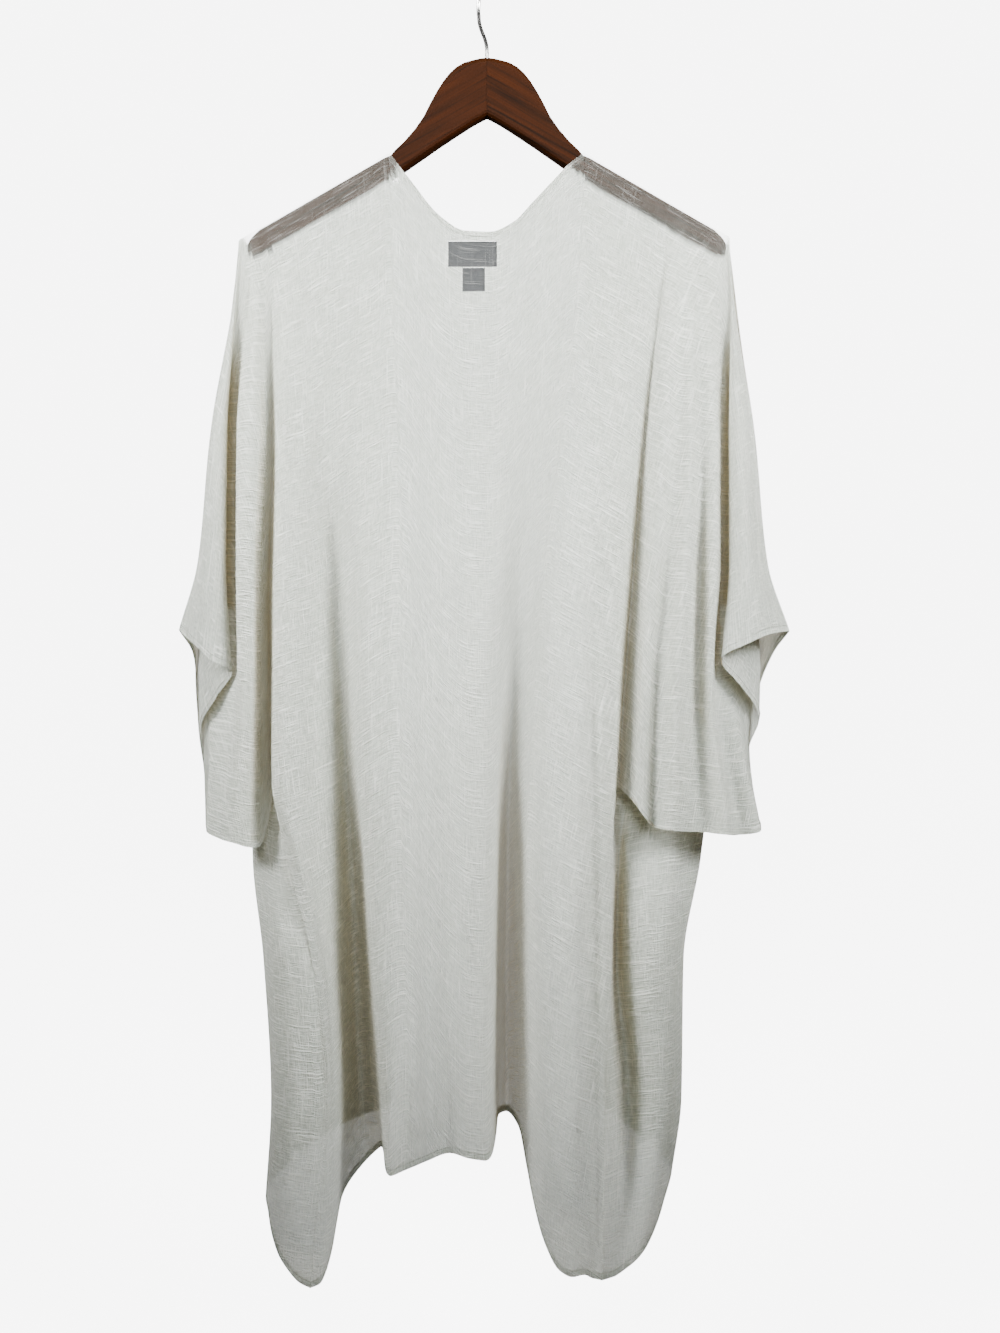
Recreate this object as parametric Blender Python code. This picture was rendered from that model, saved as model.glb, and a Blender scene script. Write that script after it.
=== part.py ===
# Open-front kimono coat of thin slub gauze on a flat wooden hanger with a wire hook.
# The origin is the inside of the hook's top, where the hanger hangs.
# +X is the wearer's right, +Z is up, and the back of the coat faces -Y.
# Tables give millimetres: x across from the centre, y the depth, drop below the hang point.
# A depth under 0 lies behind the wearer's back, outside the hanger's back face.

import math

import bpy
import numpy as np
from mathutils import Vector
from mathutils.bvhtree import BVHTree

MM = 0.001

# Cloth and seams
WALL = 1.5
SEAM_GAP = 0.3
BACK_STEPS = 2
OTHER_STEPS = 1

# Middle surfaces of the cloth are kept this far apart, so that no wall meets another
LEAST_APART = 2.3
APART_ROUNDS = 40

# Hanger and hook
WOOD_THICK = 14.0
WOOD_ROUND = 5.0
WOOD_TOP = 78.0
WOOD_END = 219.0
WOOD_UNDER_CLOTH = 1.6
WIRE = 3.5
HOOK_RADIUS = 22.0
HOOK_TURN = math.radians(68)
SHANK_DEPTH = 18.0

# Shoulder line, straight from the neck point down to the end of the hanger
NECK_HALF = 90.0
NECK_DROP = 165.0
SHOULDER_SLOPE = 0.577
HANGER_DEPTH = 9.0

# Sizes across and down are as they stand in the hanger's plane, seen from this far off.
VIEW_DISTANCE = 1150.0
VIEW_ACROSS = 12.0
VIEW_DROP = 635.0

# How the cloth turns over the hanger's top: out from the middle plane, and down
TURN_OVER = ((0.0, 0.0), (4.6, 0.5), (8.2, 4.6))
TURN_FOLD = ((0.0, 0.0), (0.0, 3.5), (0.0, 8.5))
TURN_FREE = ((9.0, 0.0), (9.0, 2.0), (9.0, 6.0))

# A station this near a fold line's end, or below it, is left out
END_CLEAR = 10.0

# Shares of the way from the shoulder to the underarm, and from there to the hem
UPPER_ROWS = (0.05, 0.12, 0.20, 0.30, 0.42, 0.55, 0.68, 0.80, 0.91, 1.0)
LOWER_ROWS = (0.08, 0.18, 0.32, 0.48, 0.64, 0.80, 0.92, 1.0)

UNDERARM_LEFT = 725.0
UNDERARM_RIGHT = 745.0


def table(text):
    """Rows of a table whose first line names its columns."""
    lines = text.strip().splitlines()
    heads = lines[0].split()
    rows = []
    for line in lines[1:]:
        words = line.split()
        rows.append({head: word if head == "fold" else float(word) for head, word in zip(heads, words)})
    return rows


NECK_EDGE = table("""
fold     x   drop
left    -90  165.0
a       -76  182
b       -59  206
c       -38  228
d       -27  235
e       -13  238.5
f         1  238.5
g        16  235
h        37  216
i        53  200
j        71  180
right    90  165.0
""")

# Folds of the back, from the left side seam to the right one
BACK_FOLDS = table("""
fold          top  x270 x420 x575 x740 x810 x905 x1035 xEnd  end y270 y420 y575 y740 y810 y905 y1035 yEnd
left_seam    -201  -198 -196 -200 -196 -182 -159 -148 -161  1201   -9   -1    8    8  -17  -20  -20  -14
left_lip     -197  -195 -192 -195 -196 -177 -154 -145 -152  1197   -9  -10  -10  -14  -20  -20  -18  -14
left_ridge   -191  -187 -185 -186 -187 -172 -150 -142 -146  1185  -10  -18  -22  -24  -22  -18  -14  -10
left_face    -183  -178 -177 -175 -174 -164 -147 -139 -141  1166  -10  -15  -19  -22  -19  -15  -10   -4
left_slope   -174  -169 -166 -161 -157 -153 -143 -136 -138  1145   -9  -11  -12  -12  -10   -6    0    8
left_wall    -162  -159 -156 -149 -141 -140 -137 -131 -134  1125   -9   -7   -2    4    6   12   18   24
left_valley  -151  -148 -147 -139 -130 -127 -122 -118 -115  1095   -9   -5    4   14   20   30   42   50
left_return  -138  -135 -135 -129 -124 -118 -113 -104  -98  1079   -9   -6   -2    6   12   20   28   34
centre_lip   -124  -120 -123 -119 -117 -113 -107  -97  -95  1088   -9   -9  -12  -10   -8   -6   -4    0
centre_ridge -109  -104 -107 -106 -104 -102  -97  -89  -88  1099   -9  -11  -18  -20  -20  -20  -20  -18
neck_left     -90   -87  -82  -80  -80  -78  -75  -72  -73  1093   -9  -11  -17  -20  -20  -18  -14  -10
neck_turn     -88.5 -85  -78  -75  -75  -73  -70  -67  -68  1091   -9  -11  -17  -20  -20  -18  -15  -11
centre_two    -68   -66  -60  -58  -56  -55  -54  -52  -54  1085   -9  -11  -18  -22  -22  -22  -22  -20
centre_three  -43   -43  -38  -36  -34  -34  -34  -34  -34  1078   -9  -11  -17  -18  -17  -15  -12   -8
centre_four   -20   -20  -16  -15  -14  -14  -15  -16  -16  1083   -9  -11  -18  -22  -22  -22  -22  -20
centre_five     3     3    3    1   -1   -2   -3   -5   -1  1085   -9  -11  -17  -20  -20  -20  -22  -20
right_drop     24    21   19   14    9    8    7    6    8  1071   -9  -11  -14  -12  -10   -6   -2    5
right_wall     42    40   32   22   15   13   11   10   11  1049   -9  -10   -8    4   12   22   38   48
right_valley   60    56   44   29   21   19   18   18   18  1046   -9   -9   -4   12   24   42   66   80
right_return   75    70   57   39   29   28   28   28   29  1060   -9   -9   -6    4   12   22   34   40
neck_turn      88.5  83   66   47   36   34   34   36   37  1100   -9  -10  -10   -5    1    6    8   12
neck_right     90    85   69   50   39   37   37   39   40  1115   -9  -10  -12   -8   -4    0    2    4
right_ridge   103    98   81   62   53   50   49   51   53  1161   -9  -11  -18  -20  -20  -18  -16  -12
right_face    117   113   95   77   68   65   64   65   66  1185   -9  -12  -20  -22  -22  -24  -24  -16
right_crown   130   127  109   92   83   80   79   80   78  1191   -9  -13  -22  -26  -28  -28  -28  -18
right_slope   142   140  122  106   96   94   92   91   89  1189   -9  -12  -18  -22  -22  -22  -22  -16
right_shade   152   150  133  119  109  106  105  100   96  1192   -9  -10  -14  -16  -16  -18  -20  -15
right_lip     160   156  140  127  118  114  112  105  101  1193   -9   -7   -6   -4   -6  -12  -18  -15
right_seam    166   162  145  133  121  116  114  108  105  1194   -9    0    8   13    4   -4  -16  -15
""")

# Folds of each front, from its side seam round the side and across to the open edge
RIGHT_FRONT_FOLDS = table("""
fold          top x270 x340 x420 x740 x810 x905 x1035 xEnd  end y270 y340 y420 y740 y810 y905 y1035 yEnd
right_seam    200  196  180  152  121  116  114  108  105  1194    9   13   18   26    4   -4  -16  -15
crevice       198  194  185  162  131  122  120  131  120  1189    9   17   23   32   20   22   20   -8
tube_side     196  192  189  174  142  131  132  145  133  1181    9   20   27   36    9    2    4   -4
tube_ridge    194  190  193  186  158  145  148  157  145  1170    9   23   30   39    5  -10   -6    0
tube_back     191  187  197  197  176  166  163  166  156  1150    9   26   33   42    9   -6   -4    4
side_face     188  184  200  205  192  182  175  174  165  1125    9   29   37   45   17    4    4   10
side_fold     184  180  201  209  205  198  182  180  171  1102    9   33   42   51   31   18   18   22
side_front    178  175  195  202  197  191  177  174  166  1092    9   37   49   61   46   36   36   38
front_face    170  167  180  186  176  172  163  159  151  1079    9   33   43   60   57   50   50   50
front_valley  158  156  163  166  154  151  145  140  137  1065    9   26   37   53   51   46   44   42
front_ridge   142  141  144  145  136  133  128  124  120  1051    9   22   34   62   64   64   64   64
front_slope   120  119  122  124  118  115  111  107  106  1040    9   17   26   48   50   50   50   50
front_edge     90   92   94   96   98   96   95   93   93  1033    9   13   18   36   38   40   42   42
""")

LEFT_FRONT_FOLDS = table("""
fold          top x270 x340 x420 x740 x810 x905 x1035 xEnd  end y270 y340 y420 y740 y810 y905 y1035 yEnd
left_seam    -203 -202 -197 -195 -193 -182 -159 -148 -161  1201    9   13   18   24  -17  -20  -20  -14
pouch_back   -201 -200 -202 -205 -203 -191 -169 -158 -171  1196    9   17   23   32    2  -22  -22  -14
pouch_side   -199 -198 -204 -211 -206 -198 -181 -171 -181  1185    9   20   27   37    8  -20  -22  -12
side_lip     -197 -196 -207 -217 -210 -205 -192 -185 -191  1169    9   24   31   42   15  -12  -16   -8
side_face    -194 -193 -209 -220 -214 -210 -200 -196 -200  1147    9   28   36   47   25    4   -2    2
side_fold    -190 -189 -210 -222 -218 -217 -207 -200 -205  1125    9   33   42   53   38   22   16   18
side_front   -184 -182 -204 -216 -210 -209 -200 -195 -199  1111    9   37   49   62   56   42   36   36
front_face   -175 -173 -190 -202 -190 -188 -185 -183 -185  1095    9   33   44   61   62   60   56   56
front_valley -162 -160 -173 -183 -172 -170 -168 -166 -166  1079    9   26   36   53   56   58   60   64
front_ridge  -145 -143 -153 -160 -151 -150 -148 -146 -146  1065    9   22   35   64   70   76   84   88
front_slope  -120 -120 -127 -132 -128 -126 -124 -121 -120  1051    9   17   27   52   58   64   72   76
front_edge    -90  -91  -91  -91  -89  -89  -88  -86  -85  1040    9   13   18   36   40   46   54   58
""")

# Folds of the sleeves' back halves, from the crevice beside the body out to the top fold
RIGHT_BACK_SLEEVE = table("""
fold          top x300 x420 x540 x640 xEnd end  y300 y420 y540 y640 yEnd
tube_flank    171  161  150  143  137  131  755  -12   -7   -3   -1    2
tube_ridge    177  170  162  154  145  141  768  -15  -17  -19  -19  -14
tube_crease   183  179  174  166  155  152  781  -13  -15  -14  -11   -5
sleeve_ridge  188  187  186  181  174  168  784  -14  -20  -24  -26  -24
sleeve_crease 194  195  197  195  193  198  786  -12  -12   -6   -2   -4
lower_ridge   199  202  207  206  204  219  788  -13  -14  -18  -16  -16
inner_turn    204  208  215  216  211  234  789  -10    0    3    5    0
underarm_end  207  211  222  226  226  252  785   -9    7   13   15    0
cuff_low      210  214  227  236  239  244  750   -9   11   18   22    8
cuff_mid      213  217  231  242  247  241  718   -9   12   18   24   14
cuff_fold     215  219  232  244  253  252  684   -9    9   14   17   13
flap          217  221  227  234  237  234  653   -9    3    7    6    3
flap_root     218  222  221  221  218  213  629  -10   -5   -5   -6   -8
outer_face    219  223  231  238  241  237  614  -11  -13  -16  -18  -16
outer_side    221  225  240  249  259  262  604   -9  -10  -12  -12  -10
sleeve_fold   223  227  246  258  277  278  602    0    0    0    0    0
""")

LEFT_BACK_SLEEVE = table("""
fold          top x300 x420 x540 x640 xEnd end  y300 y420 y540 y640 yEnd
crevice_side -205 -203 -202 -207 -208 -209  800  -10   -6   -2   -2    0
sleeve_ridge -208 -207 -210 -214 -215 -219  799  -12  -18  -22  -22  -17
sleeve_face  -211 -211 -218 -221 -221 -229  796  -13  -20  -24  -24  -20
sleeve_slope -214 -214 -226 -227 -226 -240  793  -12  -14  -16  -17  -16
inner_turn   -216 -217 -230 -231 -229 -247  790   -9   -2    0   -3  -11
middle_layer -217 -219 -236 -241 -240 -252  788   -9    7   10    8   -8
outer_layer  -218 -220 -240 -247 -249 -255  787   -9   10   15   15   -5
underarm_end -219 -221 -243 -252 -256 -257  785   -9   12   18   18   -3
cuff_low     -220 -223 -246 -257 -262 -260  750   -9   13   19   21    4
cuff_mid     -221 -224 -248 -261 -266 -263  722   -9   12   18   22   10
cuff_fold    -222 -225 -248 -262 -267 -266  700   -9    9   14   16   10
flap         -223 -227 -243 -253 -256 -252  667   -9    4    8    6    4
flap_root    -224 -228 -237 -238 -236 -233  640  -10   -5   -5   -5   -4
outer_face   -225 -229 -242 -248 -252 -251  629  -11  -14  -16  -16  -14
outer_side   -226 -231 -250 -258 -265 -266  615   -9  -12  -14  -12  -10
sleeve_fold  -228 -233 -254 -266 -279 -283  601    0    0    0    0    0
""")

# The front halves lie plainer behind them. Down to the underarm's end they share the hem line.
RIGHT_FRONT_SLEEVE = table("""
fold          top x340 x420 x540 x640 xEnd end  y340 y420 y540 y640 yEnd
tube_flank    202  186  160  146  139  131  755   11   15   22   26    2
tube_ridge    204  190  167  156  147  141  768   10   13   10    8  -14
tube_crease   206  193  175  166  158  152  781   10   12   14   16   -5
sleeve_ridge  208  197  184  179  173  168  784   10   12    8    4  -24
sleeve_crease 210  201  193  193  191  198  786   10   14   17   18   -4
lower_ridge   212  206  204  205  206  219  788   11   17   14   10  -16
inner_turn    214  211  214  216  217  234  789   13   21   25   26    0
underarm_end  216  216  224  230  233  252  785   14   24   30   33    0
cuff_low      218  221  233  243  243  240  728   14   23   31   35   24
cuff_side     220  226  240  250  250  248  668   12   18   26   29   24
cuff_top      222  230  245  257  266  263  626    8   10   13   15   13
sleeve_fold   223  234  246  258  277  278  602    0    0    0    0    0
""")

LEFT_FRONT_SLEEVE = table("""
fold          top x340 x420 x540 x640 xEnd end  y340 y420 y540 y640 yEnd
crevice_side -205 -201 -202 -209 -211 -209  800   11   16   20   18    0
sleeve_ridge -207 -205 -208 -214 -216 -219  799   10   13   15    8  -17
sleeve_face  -209 -209 -215 -219 -222 -229  796   10   13   14    6  -20
sleeve_slope -211 -213 -222 -227 -230 -240  793   10   14   16   12  -16
inner_turn   -213 -217 -229 -235 -239 -247  790   11   17   21   22  -11
middle_layer -215 -221 -236 -243 -249 -252  788   12   21   26   28   -8
outer_layer  -217 -225 -242 -251 -258 -255  787   13   23   30   32   -5
underarm_end -219 -229 -247 -258 -265 -257  785   14   22   31   34   -3
cuff_low     -221 -232 -250 -261 -268 -260  742   12   20   29   33   26
cuff_side    -223 -234 -252 -264 -270 -267  694   10   15   22   27   26
cuff_top     -225 -236 -254 -266 -273 -271  628    6    8   11   13   13
sleeve_fold  -228 -239 -254 -266 -279 -283  601    0    0    0    0    0
""")


def smooth(knots, values, places):
    """A curve through the knots that never overshoots them, read at the given places."""
    knots = np.asarray(knots, float)
    values = np.asarray(values, float)
    places = np.asarray(places, float)
    step = np.diff(knots)[:, None]
    slope = np.diff(values, axis=0) / step
    tangent = np.zeros_like(values)
    tangent[0] = slope[0]
    tangent[-1] = slope[-1]
    before, after = slope[:-1], slope[1:]
    same_way = before * after > 0
    heavy = 2 * step[1:] + step[:-1]
    light = step[1:] + 2 * step[:-1]
    mean = (heavy + light) / (heavy / np.where(same_way, before, 1) + light / np.where(same_way, after, 1))
    tangent[1:-1] = np.where(same_way, mean, 0)
    span = np.clip(np.searchsorted(knots, places, side="right") - 1, 0, len(step) - 1)
    width = step[span]
    share = (places - knots[span])[:, None] / width
    rest = 1 - share
    return (
        values[span] * (1 + 2 * share) * rest**2
        + tangent[span] * width * share * rest**2
        + values[span + 1] * (3 - 2 * share) * share**2
        - tangent[span + 1] * width * rest * share**2
    )


def top_drop(across):
    """Drop of the garment's top edge: the shoulder line, and the neck's curve between its points."""
    if abs(across) >= NECK_HALF:
        return NECK_DROP + (abs(across) - NECK_HALF) * SHOULDER_SLOPE
    knots = [row["x"] for row in NECK_EDGE]
    return smooth(knots, [[row["drop"]] for row in NECK_EDGE], [across])[0, 0]


def turn_of(row):
    """How the top of this fold line leaves the middle plane."""
    if row["fold"] == "sleeve_fold":
        return TURN_FOLD
    return TURN_OVER if abs(row["top"]) >= NECK_HALF else TURN_FREE


def fold_line(row, drops, side):
    """Points of one fold line: over the hanger's top, then down through its stations."""
    start = top_drop(row["top"])
    top = [(row["top"], side * out, start + down) for out, down in turn_of(row)]
    stations = [int(head[1:]) for head in row if head[0] == "x" and head[1:].isdigit()]
    stations = [station for station in stations if station < row["end"] - END_CLEAR]
    knots = [top[-1][2]] + stations + [row["end"]]
    places = [(row["top"], top[-1][1])]
    places += [(row[f"x{station}"], row[f"y{station}"]) for station in stations]
    places.append((row["xEnd"], row["yEnd"]))
    rest = smooth(knots, places, drops)
    return np.array(top + [(x, y, drop) for (x, y), drop in zip(rest, drops)])


def rows_between(start, end, shares):
    return [start + (end - start) * share for share in shares]


def body_knots(rows, side, fork_first, fork_last):
    """Fold lines of a body panel, as an array of rows by folds by (x, y, drop)."""
    lines = []
    for index, row in enumerate(rows):
        fork = fork_first + (fork_last - fork_first) * index / (len(rows) - 1)
        start = top_drop(row["top"]) + turn_of(row)[-1][1]
        drops = rows_between(start, fork, UPPER_ROWS) + rows_between(fork, row["end"], LOWER_ROWS)
        lines.append(fold_line(row, drops, side))
    return np.stack(lines, axis=1)


def sleeve_knots(rows, side, first_line):
    """Fold lines of a sleeve half; its first line is the body's own line down to the underarm."""
    lines = [first_line]
    for row in rows:
        start = top_drop(row["top"]) + turn_of(row)[-1][1]
        drops = rows_between(start, row["end"], UPPER_ROWS)
        lines.append(fold_line(row, drops, side))
    return np.stack(lines, axis=1)


def spread(knots, steps):
    """Adds points between the fold lines, on a smooth section through them in every row."""
    rows = []
    for line in knots:
        gaps = np.maximum(np.linalg.norm(np.diff(line[:, :2], axis=0), axis=1), 0.05)
        along = np.concatenate([[0], np.cumsum(gaps)])
        places = [along[i] + gaps[i] * k / steps for i in range(len(gaps)) for k in range(steps)]
        rows.append(smooth(along, line, places + [along[-1]]))
    return np.stack(rows)


def placed(point):
    """A table's point in metres. What lies deeper than the hanger stands a little wider and lower."""
    x, y, drop = point
    beyond = math.copysign(max(abs(y) - HANGER_DEPTH, 0), y)
    scale = 1 + beyond / VIEW_DISTANCE
    across = VIEW_ACROSS + (x - VIEW_ACROSS) * scale
    down = VIEW_DROP + (drop - VIEW_DROP) * scale
    return np.array([across, y, -down]) * MM


class Sheet:
    """Middle surface of one cut piece: shared points and the triangles between them."""

    def __init__(self):
        self.points = []
        self.faces = []

    def grid(self, rows, shared=None):
        """Adds a grid of points; column 0 may be a list of points the sheet already has."""
        numbers = np.zeros(rows.shape[:2], int)
        for j in range(rows.shape[0]):
            for i in range(rows.shape[1]):
                if i == 0 and shared is not None:
                    numbers[j, i] = shared[j]
                    continue
                numbers[j, i] = len(self.points)
                self.points.append(placed(rows[j, i]))
        return numbers

    def fill(self, numbers, flip):
        """Two triangles in each cell, on its shorter diagonal."""
        for j in range(numbers.shape[0] - 1):
            for i in range(numbers.shape[1] - 1):
                a, b, c, d = (int(numbers[j + u, i + v]) for u, v in ((0, 0), (1, 0), (1, 1), (0, 1)))
                first = np.linalg.norm(self.points[a] - self.points[c])
                second = np.linalg.norm(self.points[b] - self.points[d])
                for face in ((a, b, c), (a, c, d)) if first < second else ((a, b, d), (b, c, d)):
                    self.faces.append(list(face[::-1] if flip else face))

    def normals(self):
        """A normal at each point, each face counted by its angle there, so both sides of a crease count alike."""
        points = np.array(self.points)
        total = np.zeros_like(points)
        for face in self.faces:
            corners = points[face]
            normal = unit(np.cross(corners[1] - corners[0], corners[2] - corners[0]))
            for place, number in enumerate(face):
                after = unit(corners[(place + 1) % 3] - corners[place])
                before = unit(corners[place - 1] - corners[place])
                total[number] += normal * math.acos(min(max(after @ before, -1), 1))
        return total


def unit(vectors):
    length = np.linalg.norm(vectors, axis=-1, keepdims=True)
    return vectors / np.maximum(length, 1e-12)


def close_on_middle_plane(sheet, normals, numbers, side):
    """Keeps a top edge just off the middle plane, square to it, where the other piece meets it."""
    for number in numbers:
        sheet.points[number][1] = side * SEAM_GAP / 2 * MM
        normals[number][1] = 0


def inward(sheet, path, inner):
    """At each point of a seam, the way into the piece, square to the seam."""
    points = np.array(sheet.points)
    along = unit(np.gradient(points[path], axis=0))
    steps = np.diff(points[path], axis=0)
    turned = 1 + np.flatnonzero((steps[1:] * steps[:-1]).sum(axis=1) < 0)
    along[turned] = 0
    ways = points[inner] - points[path]
    return unit(ways - (ways * along).sum(axis=1, keepdims=True) * along), along


def part_seam(first, first_normals, first_seam, second, second_normals, second_seam):
    """Draws the two edges of a seam apart: end to end where it lies open, face to face where it doubles."""
    first_path, first_inner = first_seam
    second_path, second_inner = second_seam
    first_way, along = inward(first, first_path, first_inner)
    second_way, _ = inward(second, second_path, second_inner)
    n_first = unit(first_normals[first_path])
    n_second = unit(second_normals[second_path])
    for place, (a, b) in enumerate(zip(first_path, second_path)):
        ways = second_way[place] - first_way[place]
        faced = n_second[place] - n_first[place]
        if ways @ faced < 0 and np.linalg.norm(ways) > 0.5:
            faced = -faced
        apart = ways + faced
        apart = unit(apart - apart @ along[place] * along[place])
        doubled = min(max(-(n_first[place] @ n_second[place]) / 0.7, 0), 1)
        peak = not along[place].any()
        mean = unit(n_first[place] + n_second[place])
        for sheet, normals, number, own, way in (
            (first, first_normals, a, n_first[place], -apart),
            (second, second_normals, b, n_second[place], apart),
        ):
            flat = way * math.copysign(1, own @ way)
            normal = own if peak else unit(mean * (1 - doubled) + flat * doubled)
            shift = SEAM_GAP / 2 + WALL / 2 * abs(normal @ apart)
            sheet.points[number] = sheet.points[number] + way * shift * MM
            normals[number] = normal


def push_of(number, points, faces, near, tree, least, moves, counts):
    """Adds the moves that part this point from every face too near to it."""
    here = Vector(points[number])
    for spot, _, face, gap in tree.find_nearest_range(here, least):
        corners = faces[face]
        if number in corners or gap < 1e-7:
            continue
        beside = [corner for corner in corners if corner in near[number]]
        need = min([least] + [0.6 * np.linalg.norm(points[corner] - points[number]) for corner in beside])
        if gap >= need:
            continue
        push = np.array((here - spot) / gap) * (need - gap) / 2
        moves[number] += push
        counts[number] += 1
        closeness = np.array([1 / (np.linalg.norm(points[corner] - np.array(spot)) + 1e-4) for corner in corners])
        for corner, weight in zip(corners, closeness / closeness.max()):
            moves[corner] -= push * weight
            counts[corner] += weight


def keep_apart(sheets, same, fixed):
    """Moves the points of all sheets until no two places of the cloth lie too near."""
    points = np.concatenate([np.array(sheet.points) for sheet in sheets])
    faces = []
    near = [set() for _ in points]
    start = 0
    for sheet in sheets:
        for face in sheet.faces:
            corners = [same.get(start + number, start + number) for number in face]
            faces.append(corners)
            for place, corner in enumerate(corners):
                near[corner] |= {corners[place - 1], corners[place - 2]}
        start += len(sheet.points)
    held = np.array(sorted(fixed))
    for _ in range(APART_ROUNDS):
        tree = BVHTree.FromPolygons(points.tolist(), faces)
        moves = np.zeros_like(points)
        counts = np.zeros(len(points))
        for number in range(len(points)):
            if near[number]:
                push_of(number, points, faces, near, tree, LEAST_APART * MM, moves, counts)
        moves[held] = 0
        if not moves.any():
            break
        points += moves / np.maximum(counts, 1)[:, None]
    for number, other in same.items():
        points[number] = points[other]
    start = 0
    for sheet in sheets:
        sheet.points = list(points[start : start + len(sheet.points)])
        start += len(sheet.points)


def cloth_object(name, sheet, normals, thick, material):
    """The sheet as one closed wall, with its points moved half the thickness to each side."""
    points = np.array(sheet.points)
    away = unit(normals) * thick / 2 * MM
    count = len(points)
    faces = [list(face) for face in sheet.faces]
    faces += [[number + count for number in face[::-1]] for face in sheet.faces]
    edges = {}
    for face in sheet.faces:
        for a, b in zip(face, face[1:] + face[:1]):
            edges[(a, b)] = True
    for a, b in edges:
        if (b, a) not in edges:
            faces.append([b, a, a + count, b + count])
    return mesh_object(name, np.concatenate([points + away, points - away]), faces, material)


def mesh_object(name, points, faces, material):
    mesh = bpy.data.meshes.new(name)
    mesh.from_pydata([tuple(point) for point in points], [], [[int(n) for n in face] for face in faces])
    mesh.validate()
    mesh.materials.append(material)
    mesh.shade_smooth()
    mesh.set_sharp_from_angle(angle=math.radians(50))
    piece = bpy.data.objects.new(name, mesh)
    bpy.context.scene.collection.objects.link(piece)
    return piece


def material_of(name, colour, roughness, metallic=0.0):
    material = bpy.data.materials.new(name)
    material.use_nodes = True
    shader = material.node_tree.nodes["Principled BSDF"]
    shader.inputs["Base Color"].default_value = (*colour, 1)
    shader.inputs["Roughness"].default_value = roughness
    shader.inputs["Metallic"].default_value = metallic
    return material


def make_back():
    """Back with its grown-on sleeve halves. Returns the sheet and the seams it shares."""
    sheet = Sheet()
    upper = len(TURN_OVER) + len(UPPER_ROWS)
    knots = body_knots(BACK_FOLDS, -1, UNDERARM_LEFT, UNDERARM_RIGHT)
    body = sheet.grid(spread(knots, BACK_STEPS))
    sheet.fill(body, flip=False)
    seams = {}
    tops = [body[0, i] for i in range(body.shape[1]) if on_shoulder(knots, i)]
    sleeves = (("left", LEFT_BACK_SLEEVE, 0), ("right", RIGHT_BACK_SLEEVE, -1))
    for side, rows, column in sleeves:
        first = knots[:upper, column]
        lines = spread(sleeve_knots(rows, -1, first), OTHER_STEPS)
        numbers = sheet.grid(lines, shared=body[:upper, column])
        sheet.fill(numbers, flip=side == "left")
        seams[side] = seam_of(rows, numbers, body[upper:, column], body[upper:, 1 if column == 0 else -2])
        tops += list(numbers[0]) + list(numbers[:, -1])
    return sheet, seams, sorted(set(int(top) for top in tops))


def seam_of(rows, sleeve, side, beside):
    """The seam from the cuff along the underarm and down the side, and the points next inside it."""
    end = 1 + [row["fold"] for row in rows].index("underarm_end")
    path = list(sleeve[-1, : end * OTHER_STEPS + 1][::-1]) + list(side)
    inner = list(sleeve[-2, : end * OTHER_STEPS + 1][::-1]) + list(beside)
    return [int(number) for number in path], [int(number) for number in inner]


def on_shoulder(knots, column):
    """Whether a point of the top edge lies on the shoulder line and not on the neck's curve."""
    fold = column / BACK_STEPS
    return abs(knots[0, math.ceil(fold), 1]) < 1e-9 and abs(knots[0, math.floor(fold), 1]) < 1e-9


def make_front(side, folds, sleeve, back, back_seam, fork):
    """One front with its sleeve half, whose seam points are the back's own."""
    sheet = Sheet()
    flip = side == "right"
    upper = len(TURN_OVER) + len(UPPER_ROWS)
    knots = body_knots(folds, 1, fork, fork)
    body = sheet.grid(spread(knots, OTHER_STEPS))
    sheet.fill(body, flip=not flip)
    lines = spread(sleeve_knots(sleeve, 1, knots[:upper, 0]), OTHER_STEPS)
    numbers = sheet.grid(lines, shared=body[:upper, 0])
    sheet.fill(numbers, flip=flip)
    seam = seam_of(sleeve, numbers, body[upper:, 0], body[upper:, 1])
    for mine, its in zip(seam[0], back_seam[0], strict=True):
        sheet.points[mine] = back.points[its].copy()
    tops = list(body[0]) + list(numbers[0]) + list(numbers[:, -1])
    return sheet, seam, sorted(set(int(top) for top in tops))


def make_coat(material):
    back, seams, back_tops = make_back()
    fronts = {
        "left": make_front("left", LEFT_FRONT_FOLDS, LEFT_FRONT_SLEEVE, back, seams["left"], UNDERARM_LEFT),
        "right": make_front("right", RIGHT_FRONT_FOLDS, RIGHT_FRONT_SLEEVE, back, seams["right"], UNDERARM_RIGHT),
    }
    sheets = [back] + [front for front, _, _ in fronts.values()]
    same = {}
    start = len(back.points)
    for side, (front, seam, _) in fronts.items():
        same.update({start + mine: its for mine, its in zip(seam[0], seams[side][0])})
        start += len(front.points)
    keep_apart(sheets, same, points_on_hanger(sheets))
    back_normals = back.normals()
    for side, (front, seam, tops) in fronts.items():
        front_normals = front.normals()
        part_seam(back, back_normals, seams[side], front, front_normals, seam)
        close_on_middle_plane(front, front_normals, tops, 1)
        cloth_object(f"front_{side}", front, front_normals, WALL, material)
    close_on_middle_plane(back, back_normals, back_tops, -1)
    cloth_object("back", back, back_normals, WALL, material)


def points_on_hanger(sheets):
    """Numbers of the points that lie on the hanger's top and of those on the sleeves' top folds."""
    numbers = set()
    start = 0
    for sheet in sheets:
        for number, (x, y, z) in enumerate(sheet.points):
            line = NECK_DROP + (abs(x) / MM - NECK_HALF) * SHOULDER_SLOPE
            if abs(y) < 9.2 * MM and -z / MM < line + 8 or abs(y) < 1e-9:
                numbers.add(start + number)
        start += len(sheet.points)
    return numbers


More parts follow.
